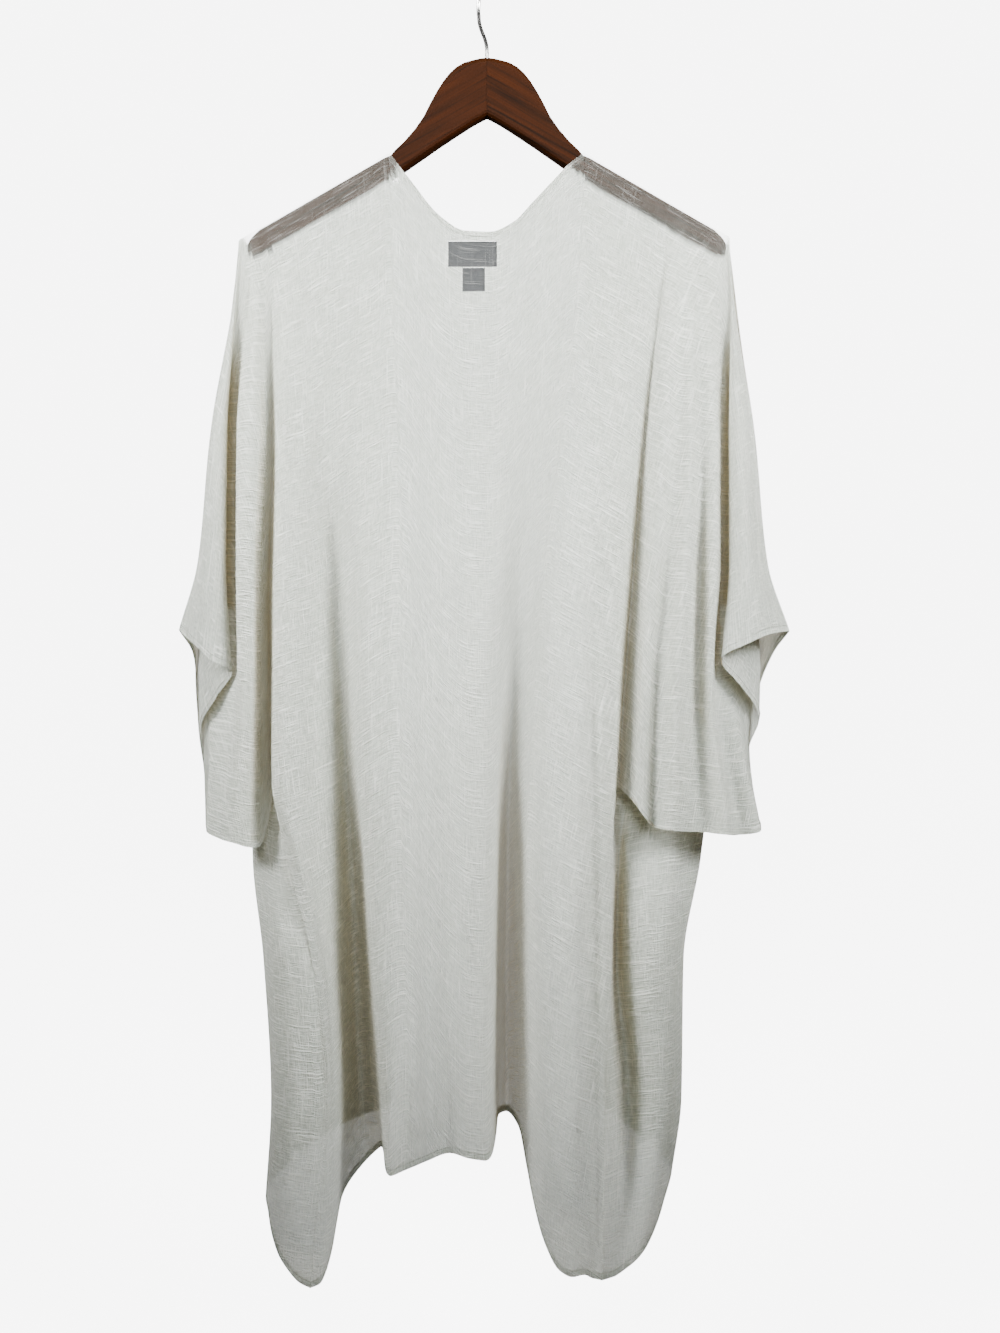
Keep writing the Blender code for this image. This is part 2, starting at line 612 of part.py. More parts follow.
# Hanger arm: how its top and lower edges fall from the centre outwards
ARM_EDGES = table("""
fold      x    top   low   half
joint     0   77.0  131.0  7.0
a         7   77.8  134.5  7.0
b        14   79.5  138.5  7.0
c        21   81.5  143.0  7.0
d        28   85.5  147.5  7.0
e        34   91.0  151.5  7.0
f        40   98.5  155.5  7.0
g        46  108.0  159.5  7.0
h        52  119.0  163.8  7.0
i        58  131.0  168.0  7.0
j        66  142.5  173.5  7.0
k        76  154.0  180.5  7.0
l        84  161.5  185.5  7.0
m        88  166.5  188.5  7.0
""")


def arm_sections():
    """Top, lower edge and half thickness of the arm at places from the joint to its rounded end."""
    sections = [(row["x"], row["top"], row["low"], row["half"]) for row in ARM_EDGES]
    sections[0] = (SEAM_GAP / 2,) + sections[0][1:]
    for across in (94.0, 120.0, 160.0, 195.0, 208.0):
        top = top_drop(across) + WOOD_UNDER_CLOTH
        sections.append((across, top, top + 27.0 - across * 0.004, WOOD_THICK / 2))
    middle = top_drop(WOOD_END - 4) + WOOD_UNDER_CLOTH + 12.5
    for back, height, half in ((5.0, 22.0, 6.6), (2.0, 16.0, 5.2), (0.0, 9.0, 3.0)):
        sections.append((WOOD_END - back, middle - height / 2, middle + height / 2, half))
    return sections


def ring(across, top, low, half):
    """A round-cornered section of the arm, square to the X axis."""
    steps = 3
    round_by = min(WOOD_ROUND, half * 0.9, (low - top) * 0.45)
    points = []
    for corner, (side_y, side_z) in enumerate(((1, -1), (1, 1), (-1, 1), (-1, -1))):
        centre_y = side_y * (half - round_by)
        centre_z = (low - round_by) if side_z > 0 else (top + round_by)
        for step in range(steps + 1):
            angle = math.radians(-90 + 90 * corner + 90 * step / steps)
            points.append((across, centre_y + round_by * math.cos(angle), centre_z + round_by * math.sin(angle)))
    return points


def make_arm(name, sign, material):
    rings = [ring(*section) for section in arm_sections()]
    count = len(rings[0])
    points = [(sign * x * MM, y * MM, -drop * MM) for section in rings for x, y, drop in section]
    faces = [list(range(count))[::-1], [len(points) - count + n for n in range(count)]]
    for band in range(len(rings) - 1):
        for n in range(count):
            a, b = band * count + n, band * count + (n + 1) % count
            faces.append([a, b, b + count, a + count])
    if sign > 0:
        faces = [face[::-1] for face in faces]
    arm = mesh_object(name, points, faces, material)
    cut = arm.modifiers.new("shank hole", "BOOLEAN")
    cut.operation = "DIFFERENCE"
    cut.object = bpy.data.objects["shank_hole"]
    return arm


def make_shank_hole():
    """Cutter for the hole that holds the hook's shank, half of it in each arm."""
    radius = WIRE / 2 + SEAM_GAP
    sides = 16
    high, low = WOOD_TOP - 10, WOOD_TOP + SHANK_DEPTH + SEAM_GAP
    points = []
    for drop in (low, high):
        for n in range(sides):
            angle = math.tau * (n + 0.5) / sides
            points.append((radius * math.cos(angle) * MM, radius * math.sin(angle) * MM, -drop * MM))
    faces = [list(range(sides))[::-1], [sides + n for n in range(sides)]]
    for n in range(sides):
        faces.append([n, (n + 1) % sides, sides + (n + 1) % sides, sides + n])
    cutter = mesh_object("shank_hole", points, faces, material_of("cutter", (0.5, 0.5, 0.5), 0.5))
    cutter.hide_render = True
    cutter.display_type = "WIRE"


def hook_route():
    """Middle of the wire: the shank, a bend to the side, the round top and the open tip."""
    centre = -(HOOK_RADIUS - WIRE / 2)
    flat = [(0.0, -(WOOD_TOP + SHANK_DEPTH)), (0.0, -WOOD_TOP), (0.0, -WOOD_TOP + 8)]
    leave = math.radians(200)
    meet = (HOOK_RADIUS * math.cos(leave), centre + HOOK_RADIUS * math.sin(leave))
    for share in (0.2, 0.4, 0.6, 0.8):
        ease = share * share * (3 - 2 * share)
        flat.append((meet[0] * ease, flat[2][1] + (meet[1] - flat[2][1]) * share))
    for step in range(15):
        angle = leave - math.radians(225) * step / 14
        flat.append((HOOK_RADIUS * math.cos(angle), centre + HOOK_RADIUS * math.sin(angle)))
    return [(out * math.cos(HOOK_TURN), -out * math.sin(HOOK_TURN), z) for out, z in flat]


def make_hook(material):
    curve = bpy.data.curves.new("hook", "CURVE")
    curve.dimensions = "3D"
    curve.bevel_depth = WIRE / 2 * MM
    curve.bevel_resolution = 2
    curve.use_fill_caps = True
    spline = curve.splines.new("POLY")
    route = hook_route()
    spline.points.add(len(route) - 1)
    for point, place in zip(spline.points, route):
        point.co = (*(value * MM for value in place), 1)
    curve.materials.append(material)
    hook = bpy.data.objects.new("hook", curve)
    bpy.context.scene.collection.objects.link(hook)


# Labels inside the back of the neck: middle across, half width, top and lower drop
LABELS = table("""
fold         x   half  top   low
neck_label  -13  22.5  247   270.5
size_tab    -12  10.5  271   293
""")
LABEL_THICK = 0.8
LABEL_STEPS = 4


def make_labels(material):
    """Plain woven labels that lie on the inside of the back, made from its own section."""
    knots = body_knots(BACK_FOLDS, -1, UNDERARM_LEFT, UNDERARM_RIGHT)
    lines = spread(knots, BACK_STEPS).reshape(-1, 3)
    for row in LABELS:
        sheet = Sheet()
        grid = []
        for down in (0.0, 0.5, 1.0):
            drop = row["top"] + (row["low"] - row["top"]) * down
            line = []
            for step in range(LABEL_STEPS + 1):
                across = row["x"] + row["half"] * (2 * step / LABEL_STEPS - 1)
                nearest = lines[np.argsort(np.hypot(lines[:, 0] - across, lines[:, 2] - drop))[:4]]
                clear = WALL / 2 + SEAM_GAP + LABEL_THICK / 2
                line.append((across, nearest[:, 1].max() + clear, drop))
            grid.append(line)
        sheet.fill(sheet.grid(np.array(grid)), flip=False)
        cloth_object(row["fold"], sheet, sheet.normals(), LABEL_THICK, material)


def main():
    for old in list(bpy.data.objects):
        bpy.data.objects.remove(old, do_unlink=True)
    gauze = material_of("slub gauze", (0.80, 0.79, 0.74), 0.85)
    wood = material_of("stained wood", (0.20, 0.07, 0.03), 0.4)
    wire = material_of("polished wire", (0.6, 0.6, 0.6), 0.25, 1.0)
    label = material_of("woven label", (0.12, 0.12, 0.13), 0.7)
    make_coat(gauze)
    make_labels(label)
    make_shank_hole()
    make_arm("hanger_left", -1, wood)
    make_arm("hanger_right", 1, wood)
    make_hook(wire)


main()
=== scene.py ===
import math

import bpy
import numpy as np
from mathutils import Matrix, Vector
from mathutils.bvhtree import BVHTree


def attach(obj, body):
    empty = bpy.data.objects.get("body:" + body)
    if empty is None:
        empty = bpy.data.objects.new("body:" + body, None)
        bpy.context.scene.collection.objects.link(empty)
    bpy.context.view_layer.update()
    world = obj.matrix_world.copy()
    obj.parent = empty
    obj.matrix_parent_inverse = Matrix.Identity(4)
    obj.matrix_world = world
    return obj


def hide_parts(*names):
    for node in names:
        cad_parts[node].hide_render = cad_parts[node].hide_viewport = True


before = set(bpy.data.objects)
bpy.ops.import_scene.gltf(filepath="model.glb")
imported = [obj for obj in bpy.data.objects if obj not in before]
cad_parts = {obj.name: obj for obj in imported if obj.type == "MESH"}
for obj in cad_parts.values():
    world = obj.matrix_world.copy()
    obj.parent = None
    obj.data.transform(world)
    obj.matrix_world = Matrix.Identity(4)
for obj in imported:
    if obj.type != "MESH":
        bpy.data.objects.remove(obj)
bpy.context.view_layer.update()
print("frame loaded")

mm = 0.001

# How the coat hangs: millimetres across from the centre, depth, and drop below the hook
coat = {
    "neckHalf": 90.0,
    "neckDrop": 165.0,
    "shoulderSlope": 0.577,
    "hangerDepth": 9.0,
    "viewDistance": 1150.0,
    "viewAcross": 12.0,
    "viewDrop": 635.0,
    "underarmLeft": 725.0,
    "underarmRight": 745.0,
    "endClear": 10.0,
    "stepsAcross": 5,
    "rowsUpper": 100,
    "rowsLower": 70,
    "hemWidth": 6.0,
    "neckClear": 0.3,
    "neckStretch": 1.15,
    "sleeveSpread": 0.04,
    "layerGap": 0.9,
}

turnOver = ((0.15, 0.0), (2.6, 0.15), (4.9, 0.8), (7.0, 2.2), (8.4, 4.9), (9.0, 8.0))
turnFold = ((0.15, 0.0), (0.15, 1.2), (0.15, 2.5), (0.15, 4.0), (0.15, 6.0), (0.15, 8.5))
turnFree = ((9.0, 0.0), (9.0, 1.2), (9.0, 2.5), (9.0, 4.0), (9.0, 6.0), (9.0, 8.0))


def table(text):
    lines = text.strip().splitlines()
    heads = lines[0].split()
    rows = []
    for line in lines[1:]:
        words = line.split()
        rows.append({h: w if h == "fold" else float(w) for h, w in zip(heads, words)})
    return rows


neckEdge = table("""
fold     x   drop
left    -90  165.0
a       -76  182
b       -59  206
c       -38  228
d       -27  235
e       -13  238.5
f         1  238.5
g        16  235
h        37  216
i        53  200
j        71  180
right    90  165.0
""")

backFolds = table("""
fold          top  x270 x420 x575 x740 x810 x905 x1035 xEnd  end y270 y420 y575 y740 y810 y905 y1035 yEnd
left_seam    -201  -198 -196 -200 -196 -182 -159 -148 -161  1201   -9   -1    8    8  -17  -20  -20  -14
left_lip     -197  -195 -192 -195 -196 -177 -154 -145 -152  1197   -9  -10  -10  -14  -20  -20  -18  -14
left_ridge   -191  -187 -185 -186 -187 -172 -150 -142 -146  1185  -10  -18  -22  -24  -22  -18  -14  -10
left_face    -183  -178 -177 -175 -174 -164 -147 -139 -141  1166  -10  -15  -19  -22  -19  -15  -10   -4
left_slope   -174  -169 -166 -161 -157 -153 -143 -136 -138  1145   -9  -11  -12  -12  -10   -6    0    8
left_wall    -162  -159 -156 -149 -141 -140 -137 -131 -134  1125   -9   -7   -2    4    6   12   18   24
left_valley  -151  -148 -147 -139 -130 -127 -122 -118 -115  1095   -9   -5    4   14   20   30   42   50
left_return  -138  -135 -135 -129 -124 -118 -113 -104  -98  1079   -9   -6   -2    6   12   20   28   34
centre_lip   -124  -120 -123 -119 -117 -113 -107  -97  -95  1088   -9   -9  -12  -10   -8   -6   -4    0
centre_ridge -109  -104 -107 -106 -104 -102  -97  -89  -88  1099   -9  -11  -18  -20  -20  -20  -20  -18
neck_left     -90   -87  -82  -80  -80  -78  -75  -72  -73  1093   -9  -11  -17  -20  -20  -18  -14  -10
neck_turn     -88.5 -85  -78  -75  -75  -73  -70  -67  -68  1091   -9  -11  -17  -20  -20  -18  -15  -11
centre_two    -68   -66  -60  -58  -56  -55  -54  -52  -54  1085   -9  -11  -18  -22  -22  -22  -22  -20
centre_three  -43   -43  -38  -36  -34  -34  -34  -34  -34  1078   -9  -11  -17  -18  -17  -15  -12   -8
centre_four   -20   -20  -16  -15  -14  -14  -15  -16  -16  1083   -9  -11  -18  -22  -22  -22  -22  -20
centre_five     3     3    3    1   -1   -2   -3   -5   -1  1085   -9  -11  -17  -20  -20  -20  -22  -20
right_drop     24    21   19   14    9    8    7    6    8  1071   -9  -11  -14  -12  -10   -6   -2    5
right_wall     42    40   32   22   15   13   11   10   11  1049   -9  -10   -8    4   12   22   38   48
right_valley   60    56   44   29   21   19   18   18   18  1046   -9   -9   -4   12   24   42   66   80
right_return   75    70   57   39   29   28   28   28   29  1060   -9   -9   -6    4   12   22   34   40
neck_turn      88.5  83   66   47   36   34   34   36   37  1100   -9  -10  -10   -5    1    6    8   12
neck_right     90    85   69   50   39   37   37   39   40  1115   -9  -10  -12   -8   -4    0    2    4
right_ridge   103    98   81   62   53   50   49   51   53  1161   -9  -11  -18  -20  -20  -18  -16  -12
right_face    117   113   95   77   68   65   64   65   66  1185   -9  -12  -20  -22  -22  -24  -24  -16
right_crown   130   127  109   92   83   80   79   80   78  1191   -9  -13  -22  -26  -28  -28  -28  -18
right_slope   142   140  122  106   96   94   92   91   89  1189   -9  -12  -18  -22  -22  -22  -22  -16
right_shade   152   150  133  119  109  106  105  100   96  1192   -9  -10  -14  -16  -16  -18  -20  -15
right_lip     160   156  140  127  118  114  112  105  101  1193   -9   -7   -6   -4   -6  -12  -18  -15
right_seam    166   162  145  133  121  116  114  108  105  1194   -9    0    8   13    4   -4  -16  -15
""")

rightFrontFolds = table("""
fold          top x270 x340 x420 x740 x810 x905 x1035 xEnd  end y270 y340 y420 y740 y810 y905 y1035 yEnd
right_seam    200  196  180  152  121  116  114  108  105  1194    9   13   18   26    4   -4  -16  -15
crevice       198  194  185  162  131  122  120  131  120  1189    9   17   23   32   20   22   20   -8
tube_side     196  192  189  174  142  131  132  145  133  1181    9   20   27   36    9    2    4   -4
tube_ridge    194  190  193  186  158  145  148  157  145  1170    9   23   30   39    5  -10   -6    0
tube_back     191  187  197  197  176  166  163  166  156  1150    9   26   33   42    9   -6   -4    4
side_face     188  184  200  205  192  182  175  174  165  1125    9   29   37   45   17    4    4   10
side_fold     184  180  201  209  205  198  182  180  171  1102    9   33   42   51   31   18   18   22
side_front    178  175  195  202  197  191  177  174  166  1092    9   37   49   61   46   36   36   38
front_face    170  167  180  186  176  172  163  159  151  1079    9   33   43   60   57   50   50   50
front_valley  158  156  163  166  154  151  145  140  137  1065    9   26   37   53   51   46   44   42
front_ridge   142  141  144  145  136  133  128  124  120  1051    9   22   34   62   64   64   64   64
front_slope   120  119  122  124  118  115  111  107  106  1040    9   17   26   48   50   50   50   50
front_edge     90   92   94   96   98   96   95   93   93  1033    9   13   18   36   38   40   42   42
""")

leftFrontFolds = table("""
fold          top x270 x340 x420 x740 x810 x905 x1035 xEnd  end y270 y340 y420 y740 y810 y905 y1035 yEnd
left_seam    -203 -202 -197 -195 -193 -182 -159 -148 -161  1201    9   13   18   24  -17  -20  -20  -14
pouch_back   -201 -200 -202 -205 -203 -191 -169 -158 -171  1196    9   17   23   32    2  -22  -22  -14
pouch_side   -199 -198 -204 -211 -206 -198 -181 -171 -181  1185    9   20   27   37    8  -20  -22  -12
side_lip     -197 -196 -207 -217 -210 -205 -192 -185 -191  1169    9   24   31   42   15  -12  -16   -8
side_face    -194 -193 -209 -220 -214 -210 -200 -196 -200  1147    9   28   36   47   25    4   -2    2
side_fold    -190 -189 -210 -222 -218 -217 -207 -200 -205  1125    9   33   42   53   38   22   16   18
side_front   -184 -182 -204 -216 -210 -209 -200 -195 -199  1111    9   37   49   62   56   42   36   36
front_face   -175 -173 -190 -202 -190 -188 -185 -183 -185  1095    9   33   44   61   62   60   56   56
front_valley -162 -160 -173 -183 -172 -170 -168 -166 -166  1079    9   26   36   53   56   58   60   64
front_ridge  -145 -143 -153 -160 -151 -150 -148 -146 -146  1065    9   22   35   64   70   76   84   88
front_slope  -120 -120 -127 -132 -128 -126 -124 -121 -120  1051    9   17   27   52   58   64   72   76
front_edge    -90  -91  -91  -91  -89  -89  -88  -86  -85  1040    9   13   18   36   40   46   54   58
""")

rightBackSleeve = table("""
fold          top x300 x420 x540 x640 xEnd end  y300 y420 y540 y640 yEnd
tube_flank    171  161  150  143  137  131  755  -12   -7   -3   -1    2
tube_ridge    177  170  162  154  145  141  768  -15  -17  -19  -19  -14
tube_crease   183  179  174  166  155  152  781  -13  -15  -14  -11   -5
sleeve_ridge  188  187  186  181  174  168  784  -14  -20  -24  -26  -24
sleeve_crease 194  195  197  195  193  198  786  -12  -12   -6   -2   -4
lower_ridge   199  202  207  206  204  219  788  -13  -14  -18  -16  -16
inner_turn    204  208  215  216  211  234  789  -10    0    3    5    0
underarm_end  207  211  222  226  226  252  785   -9    7   13   15    0
cuff_low      210  214  227  236  239  244  750   -9   11   18   22    8
cuff_mid      213  217  231  242  247  241  718   -9   12   18   24   14
cuff_fold     215  219  232  244  253  252  684   -9    9   14   17   13
flap          217  221  227  234  237  234  653   -9    3    7    6    3
flap_root     218  222  221  221  218  213  629  -10   -5   -5   -6   -8
outer_face    219  223  231  238  241  237  614  -11  -13  -16  -18  -16
outer_side    221  225  240  249  259  262  604   -9  -10  -12  -12  -10
sleeve_fold   223  227  246  258  277  278  602    0    0    0    0    0
""")

leftBackSleeve = table("""
fold          top x300 x420 x540 x640 xEnd end  y300 y420 y540 y640 yEnd
crevice_side -205 -203 -202 -207 -208 -209  800  -10   -6   -2   -2    0
sleeve_ridge -208 -207 -210 -214 -215 -219  799  -12  -18  -22  -22  -17
sleeve_face  -211 -211 -218 -221 -221 -229  796  -13  -20  -24  -24  -20
sleeve_slope -214 -214 -226 -227 -226 -240  793  -12  -14  -16  -17  -16
inner_turn   -216 -217 -230 -231 -229 -247  790   -9   -2    0   -3  -11
middle_layer -217 -219 -236 -241 -240 -252  788   -9    7   10    8   -8
outer_layer  -218 -220 -240 -247 -249 -255  787   -9   10   15   15   -5
underarm_end -219 -221 -243 -252 -256 -257  785   -9   12   18   18   -3
cuff_low     -220 -223 -246 -257 -262 -260  750   -9   13   19   21    4
cuff_mid     -221 -224 -248 -261 -266 -263  722   -9   12   18   22   10
cuff_fold    -222 -225 -248 -262 -267 -266  700   -9    9   14   16   10
flap         -223 -227 -243 -253 -256 -252  667   -9    4    8    6    4
flap_root    -224 -228 -237 -238 -236 -233  640  -10   -5   -5   -5   -4
outer_face   -225 -229 -242 -248 -252 -251  629  -11  -14  -16  -16  -14
outer_side   -226 -231 -250 -258 -265 -266  615   -9  -12  -14  -12  -10
sleeve_fold  -228 -233 -254 -266 -279 -283  601    0    0    0    0    0
""")

rightFrontSleeve = table("""
fold          top x340 x420 x540 x640 xEnd end  y340 y420 y540 y640 yEnd
tube_flank    202  186  160  146  139  131  755   11   15   22   26    2
tube_ridge    204  190  167  156  147  141  768   10   13   10    8  -14
tube_crease   206  193  175  166  158  152  781   10   12   14   16   -5
sleeve_ridge  208  197  184  179  173  168  784   10   12    8    4  -24
sleeve_crease 210  201  193  193  191  198  786   10   14   17   18   -4
lower_ridge   212  206  204  205  206  219  788   11   17   14   10  -16
inner_turn    214  211  214  216  217  234  789   13   21   25   26    0
underarm_end  216  216  224  230  233  252  785   14   24   30   33    0
cuff_low      218  221  233  243  243  240  728   14   23   31   35   24
cuff_side     220  226  240  250  250  248  668   12   18   26   29   24
cuff_top      222  230  245  257  266  263  626    8   10   13   15   13
sleeve_fold   223  234  246  258  277  278  602    0    0    0    0    0
""")

leftFrontSleeve = table("""
fold          top x340 x420 x540 x640 xEnd end  y340 y420 y540 y640 yEnd
crevice_side -205 -201 -202 -209 -211 -209  800   11   16   20   18    0
sleeve_ridge -207 -205 -208 -214 -216 -219  799   10   13   15    8  -17
sleeve_face  -209 -209 -215 -219 -222 -229  796   10   13   14    6  -20
sleeve_slope -211 -213 -222 -227 -230 -240  793   10   14   16   12  -16
inner_turn   -213 -217 -229 -235 -239 -247  790   11   17   21   22  -11
middle_layer -215 -221 -236 -243 -249 -252  788   12   21   26   28   -8
outer_layer  -217 -225 -242 -251 -258 -255  787   13   23   30   32   -5
underarm_end -219 -229 -247 -258 -265 -257  785   14   22   31   34   -3
cuff_low     -221 -232 -250 -261 -268 -260  742   12   20   29   33   26
cuff_side    -223 -234 -252 -264 -270 -267  694   10   15   22   27   26
cuff_top     -225 -236 -254 -266 -273 -271  628    6    8   11   13   13
sleeve_fold  -228 -239 -254 -266 -279 -283  601    0    0    0    0    0
""")


def smooth(knots, values, places):  # monotone cubic, so a fold never overshoots its knots
    knots = np.asarray(knots, float)
    values = np.asarray(values, float)
    places = np.asarray(places, float)
    step = np.diff(knots)[:, None]
    slope = np.diff(values, axis=0) / step
    tangent = np.zeros_like(values)
    tangent[0] = slope[0]
    tangent[-1] = slope[-1]
    before, after = slope[:-1], slope[1:]
    same = before * after > 0
    heavy = 2 * step[1:] + step[:-1]
    light = step[1:] + 2 * step[:-1]
    mean = (heavy + light) / (heavy / np.where(same, before, 1) + light / np.where(same, after, 1))
    tangent[1:-1] = np.where(same, mean, 0)
    span = np.clip(np.searchsorted(knots, places, side="right") - 1, 0, len(step) - 1)
    width = step[span]
    t = (places - knots[span])[:, None] / width
    r = 1 - t
    return (values[span] * (1 + 2 * t) * r**2 + tangent[span] * width * t * r**2
            + values[span + 1] * (3 - 2 * t) * t**2 - tangent[span + 1] * width * r * t**2)


def topDrop(across):
    if abs(across) >= coat["neckHalf"]:
        return coat["neckDrop"] + (abs(across) - coat["neckHalf"]) * coat["shoulderSlope"]
    knots = [row["x"] for row in neckEdge]
    return smooth(knots, [[row["drop"]] for row in neckEdge], [across])[0, 0]


def turnOf(row):
    if row["fold"] == "sleeve_fold":
        return turnFold
    return turnOver if abs(row["top"]) >= coat["neckHalf"] else turnFree


def foldLine(row, drops, side):
    start = topDrop(row["top"])
    top = [(row["top"], side * out, start + down) for out, down in turnOf(row)]
    stations = [int(head[1:]) for head in row if head[0] == "x" and head[1:].isdigit()]
    stations = [s for s in stations if s < row["end"] - coat["endClear"]]
    knots = [top[-1][2]] + stations + [row["end"]]
    places = [(row["top"], top[-1][1])] + [(row[f"x{s}"], row[f"y{s}"]) for s in stations]
    places.append((row["xEnd"], row["yEnd"]))
    rest = smooth(knots, places, drops)
    return np.array(top + [(x, y, drop) for (x, y), drop in zip(rest, drops)])


def spans(start, end, count, last):  # even rows, then one row a hem's width above the end
    drops = list(np.linspace(start, end, count + 1)[1:])
    if last:
        drops[-1:] = [end - coat["hemWidth"], end - coat["hemWidth"] / 2, end]
        if drops[-4] > drops[-3] - 2:
            drops[-4] = (drops[-5] + drops[-3]) / 2
    return drops


def bodyKnots(rows, side, forkFirst, forkLast):
    lines = []
    for index, row in enumerate(rows):
        fork = forkFirst + (forkLast - forkFirst) * index / (len(rows) - 1)
        start = topDrop(row["top"]) + turnOf(row)[-1][1]
        drops = spans(start, fork, coat["rowsUpper"], False)
        drops += spans(fork, row["end"], coat["rowsLower"], True)
        lines.append(foldLine(row, drops, side))
    return np.stack(lines, axis=1)


def sleeveKnots(rows, side, first):
    lines = [first]
    for row in rows:
        start = topDrop(row["top"]) + turnOf(row)[-1][1]
        lines.append(foldLine(row, spans(start, row["end"], coat["rowsUpper"] - 2, True), side))
    return np.stack(lines, axis=1)


def spread(knots, steps):  # points between fold lines, on a smooth section through each row
    rows = []
    for line in knots:
        gaps = np.maximum(np.linalg.norm(np.diff(line[:, :2], axis=0), axis=1), 0.05)
        along = np.concatenate([[0], np.cumsum(gaps)])
        places = [along[i] + gaps[i] * k / steps for i in range(len(gaps)) for k in range(steps)]
        rows.append(smooth(along, line, places + [along[-1]]))
    return np.stack(rows)


def placed(grid):  # what lies off the hanger's depth is spread from the view's middle, or drawn in
    x, y, drop = grid[..., 0], grid[..., 1], grid[..., 2]
    beyond = np.sign(y) * np.maximum(np.abs(y) - coat["hangerDepth"], 0)
    scale = 1 + beyond / coat["viewDistance"]
    across = coat["viewAcross"] + (x - coat["viewAcross"]) * scale
    down = coat["viewDrop"] + (drop - coat["viewDrop"]) * scale
    return np.stack([across, y, -down], axis=-1) * mm


def unit(vectors):
    return vectors / np.maximum(np.linalg.norm(vectors, axis=-1, keepdims=True), 1e-12)


# Small creases pressed into the hung cloth: from one point to another, how far they stand out, how wide
creases = table("""
fold          x1  drop1   x2  drop2  out  wide
shoulderDrag  205   285  187   318  -2.5    4
shoulderDragB 190   262  160   330  -1.2    7
dragLeft     -214   262 -190   345  -1.6    6
dragLeftB    -196   250 -150   330  -1.0    8
sleeveValley  209   670  232   780  -3.0    7
tuckLeft     -210   803 -196   805  -2.0    3
centreRipple  -44   620  -42  1070   1.6   11
centreRippleB -80   700  -74  1060   1.2    9
centreDip     -18   760  -14  1080  -1.5    9
rightDip       95   560  101  1190  -6.0    6
rightRipple    52   700   56  1150   1.5   10
leftRipple   -168   700 -170  1180   1.6   11
leftDip      -150   620 -148  1150  -1.8    9
neckDragL     -70   190 -100   330  -0.9    9
neckDragR      72   190  104   330  -0.9    9
valleyRight    12   520   21  1120  -2.5   12
valleyRightB   20   760   22  1130  -8.0   10
pouchFold    -224   857 -198   847  -4.0    4
valleyLeft   -147   460 -113  1060  -4.0   12
valleyLeftB  -122   760 -106  1150  -9.0   14
hemRipple     -60  1060  -58  1110  -2.0    7
hemRippleB    -30  1050  -30  1110   1.8    8
hemRippleC     75  1130   78  1200  -2.2    8
hemRippleD   -175  1150 -168  1215   2.0    8
""")


def creaseDepth(x, drop, seed):  # out towards the wearer's back, in mm
    depth = np.zeros_like(x)
    for row in creases:
        ax, ad, bx, bd = row["x1"], row["drop1"], row["x2"], row["drop2"]
        length = math.hypot(bx - ax, bd - ad)
        t = ((x - ax) * (bx - ax) + (drop - ad) * (bd - ad)) / length**2
        away = ((x - ax) * (bd - ad) - (drop - ad) * (bx - ax)) / length
        ends = np.clip(np.minimum(t + 0.12, 1.12 - t) / 0.3, 0, 1)
        depth += row["out"] * np.exp(-(away / row["wide"]) ** 2) * ends * ends * (3 - 2 * ends)
    # soft unevenness of the hanging cloth, in long waves that drift sideways
    rng = np.random.RandomState(seed)
    for _ in range(14):
        wave = 1 / rng.uniform(16, 60)
        lean = rng.uniform(-0.25, 0.25)
        phase = rng.uniform(0, math.tau)
        reach = 1 / rng.uniform(120, 400)
        shift = rng.uniform(0, math.tau)
        sway = np.sin(math.tau * wave * (x + lean * drop) + phase)
        depth += 0.16 * sway * np.sin(math.tau * reach * drop + shift)
    return depth


class Cloth:  # one cut piece: grids of points with their place on the flat cloth
    def __init__(self, name):
        self.name = name
        self.points = []
        self.flat = []
        self.hem = []
        self.faces = []
        self.cuffs = []

    def add(self, grid, flat, hem, flip, shared=None):
        numbers = np.zeros(grid.shape[:2], int)
        for j in range(grid.shape[0]):
            for i in range(grid.shape[1]):
                if i == 0 and shared is not None:
                    numbers[j, i] = shared[j]
                    continue
                numbers[j, i] = len(self.points)
                self.points.append(grid[j, i])
                self.flat.append(flat[j, i])
                self.hem.append(hem[j, i])
        for j in range(grid.shape[0] - 1):
            for i in range(grid.shape[1] - 1):
                face = [numbers[j, i], numbers[j + 1, i], numbers[j + 1, i + 1], numbers[j, i + 1]]
                self.faces.append(face[::-1] if flip else face)
        return numbers

    def turnHem(self, edge, inner, normals, flip):  # folds the edge under, one layer behind the first
        under = []
        for inside in inner:
            under.append(len(self.points))
            self.points.append(self.points[inside] - normals[inside] * coat["layerGap"] * mm)
            self.flat.append(self.flat[inside])
            self.hem.append(self.hem[inside])
        for k in range(len(edge) - 1):
            face = [edge[k], edge[k + 1], under[k + 1], under[k]]
            self.faces.append(face[::-1] if flip else face)

    def build(self, material):
        mesh = bpy.data.meshes.new(self.name)
        mesh.from_pydata([tuple(p) for p in self.points], [], [[int(n) for n in f] for f in self.faces])
        layer = mesh.uv_layers.new(name="flat")
        corners = np.array([n for f in self.faces for n in f])
        layer.data.foreach_set("uv", np.array(self.flat)[corners].ravel())
        hem = mesh.attributes.new("hem", "FLOAT", "POINT")
        hem.data.foreach_set("value", np.array(self.hem, float))
        mesh.materials.append(material)
        mesh.shade_smooth()
        piece = bpy.data.objects.new(self.name, mesh)
        bpy.context.scene.collection.objects.link(piece)
        return piece


creaseGrow = 8  # rows over which the creases come in below the shoulder
frontShift = 400.0  # mm, so that the fronts have none of the back's creases


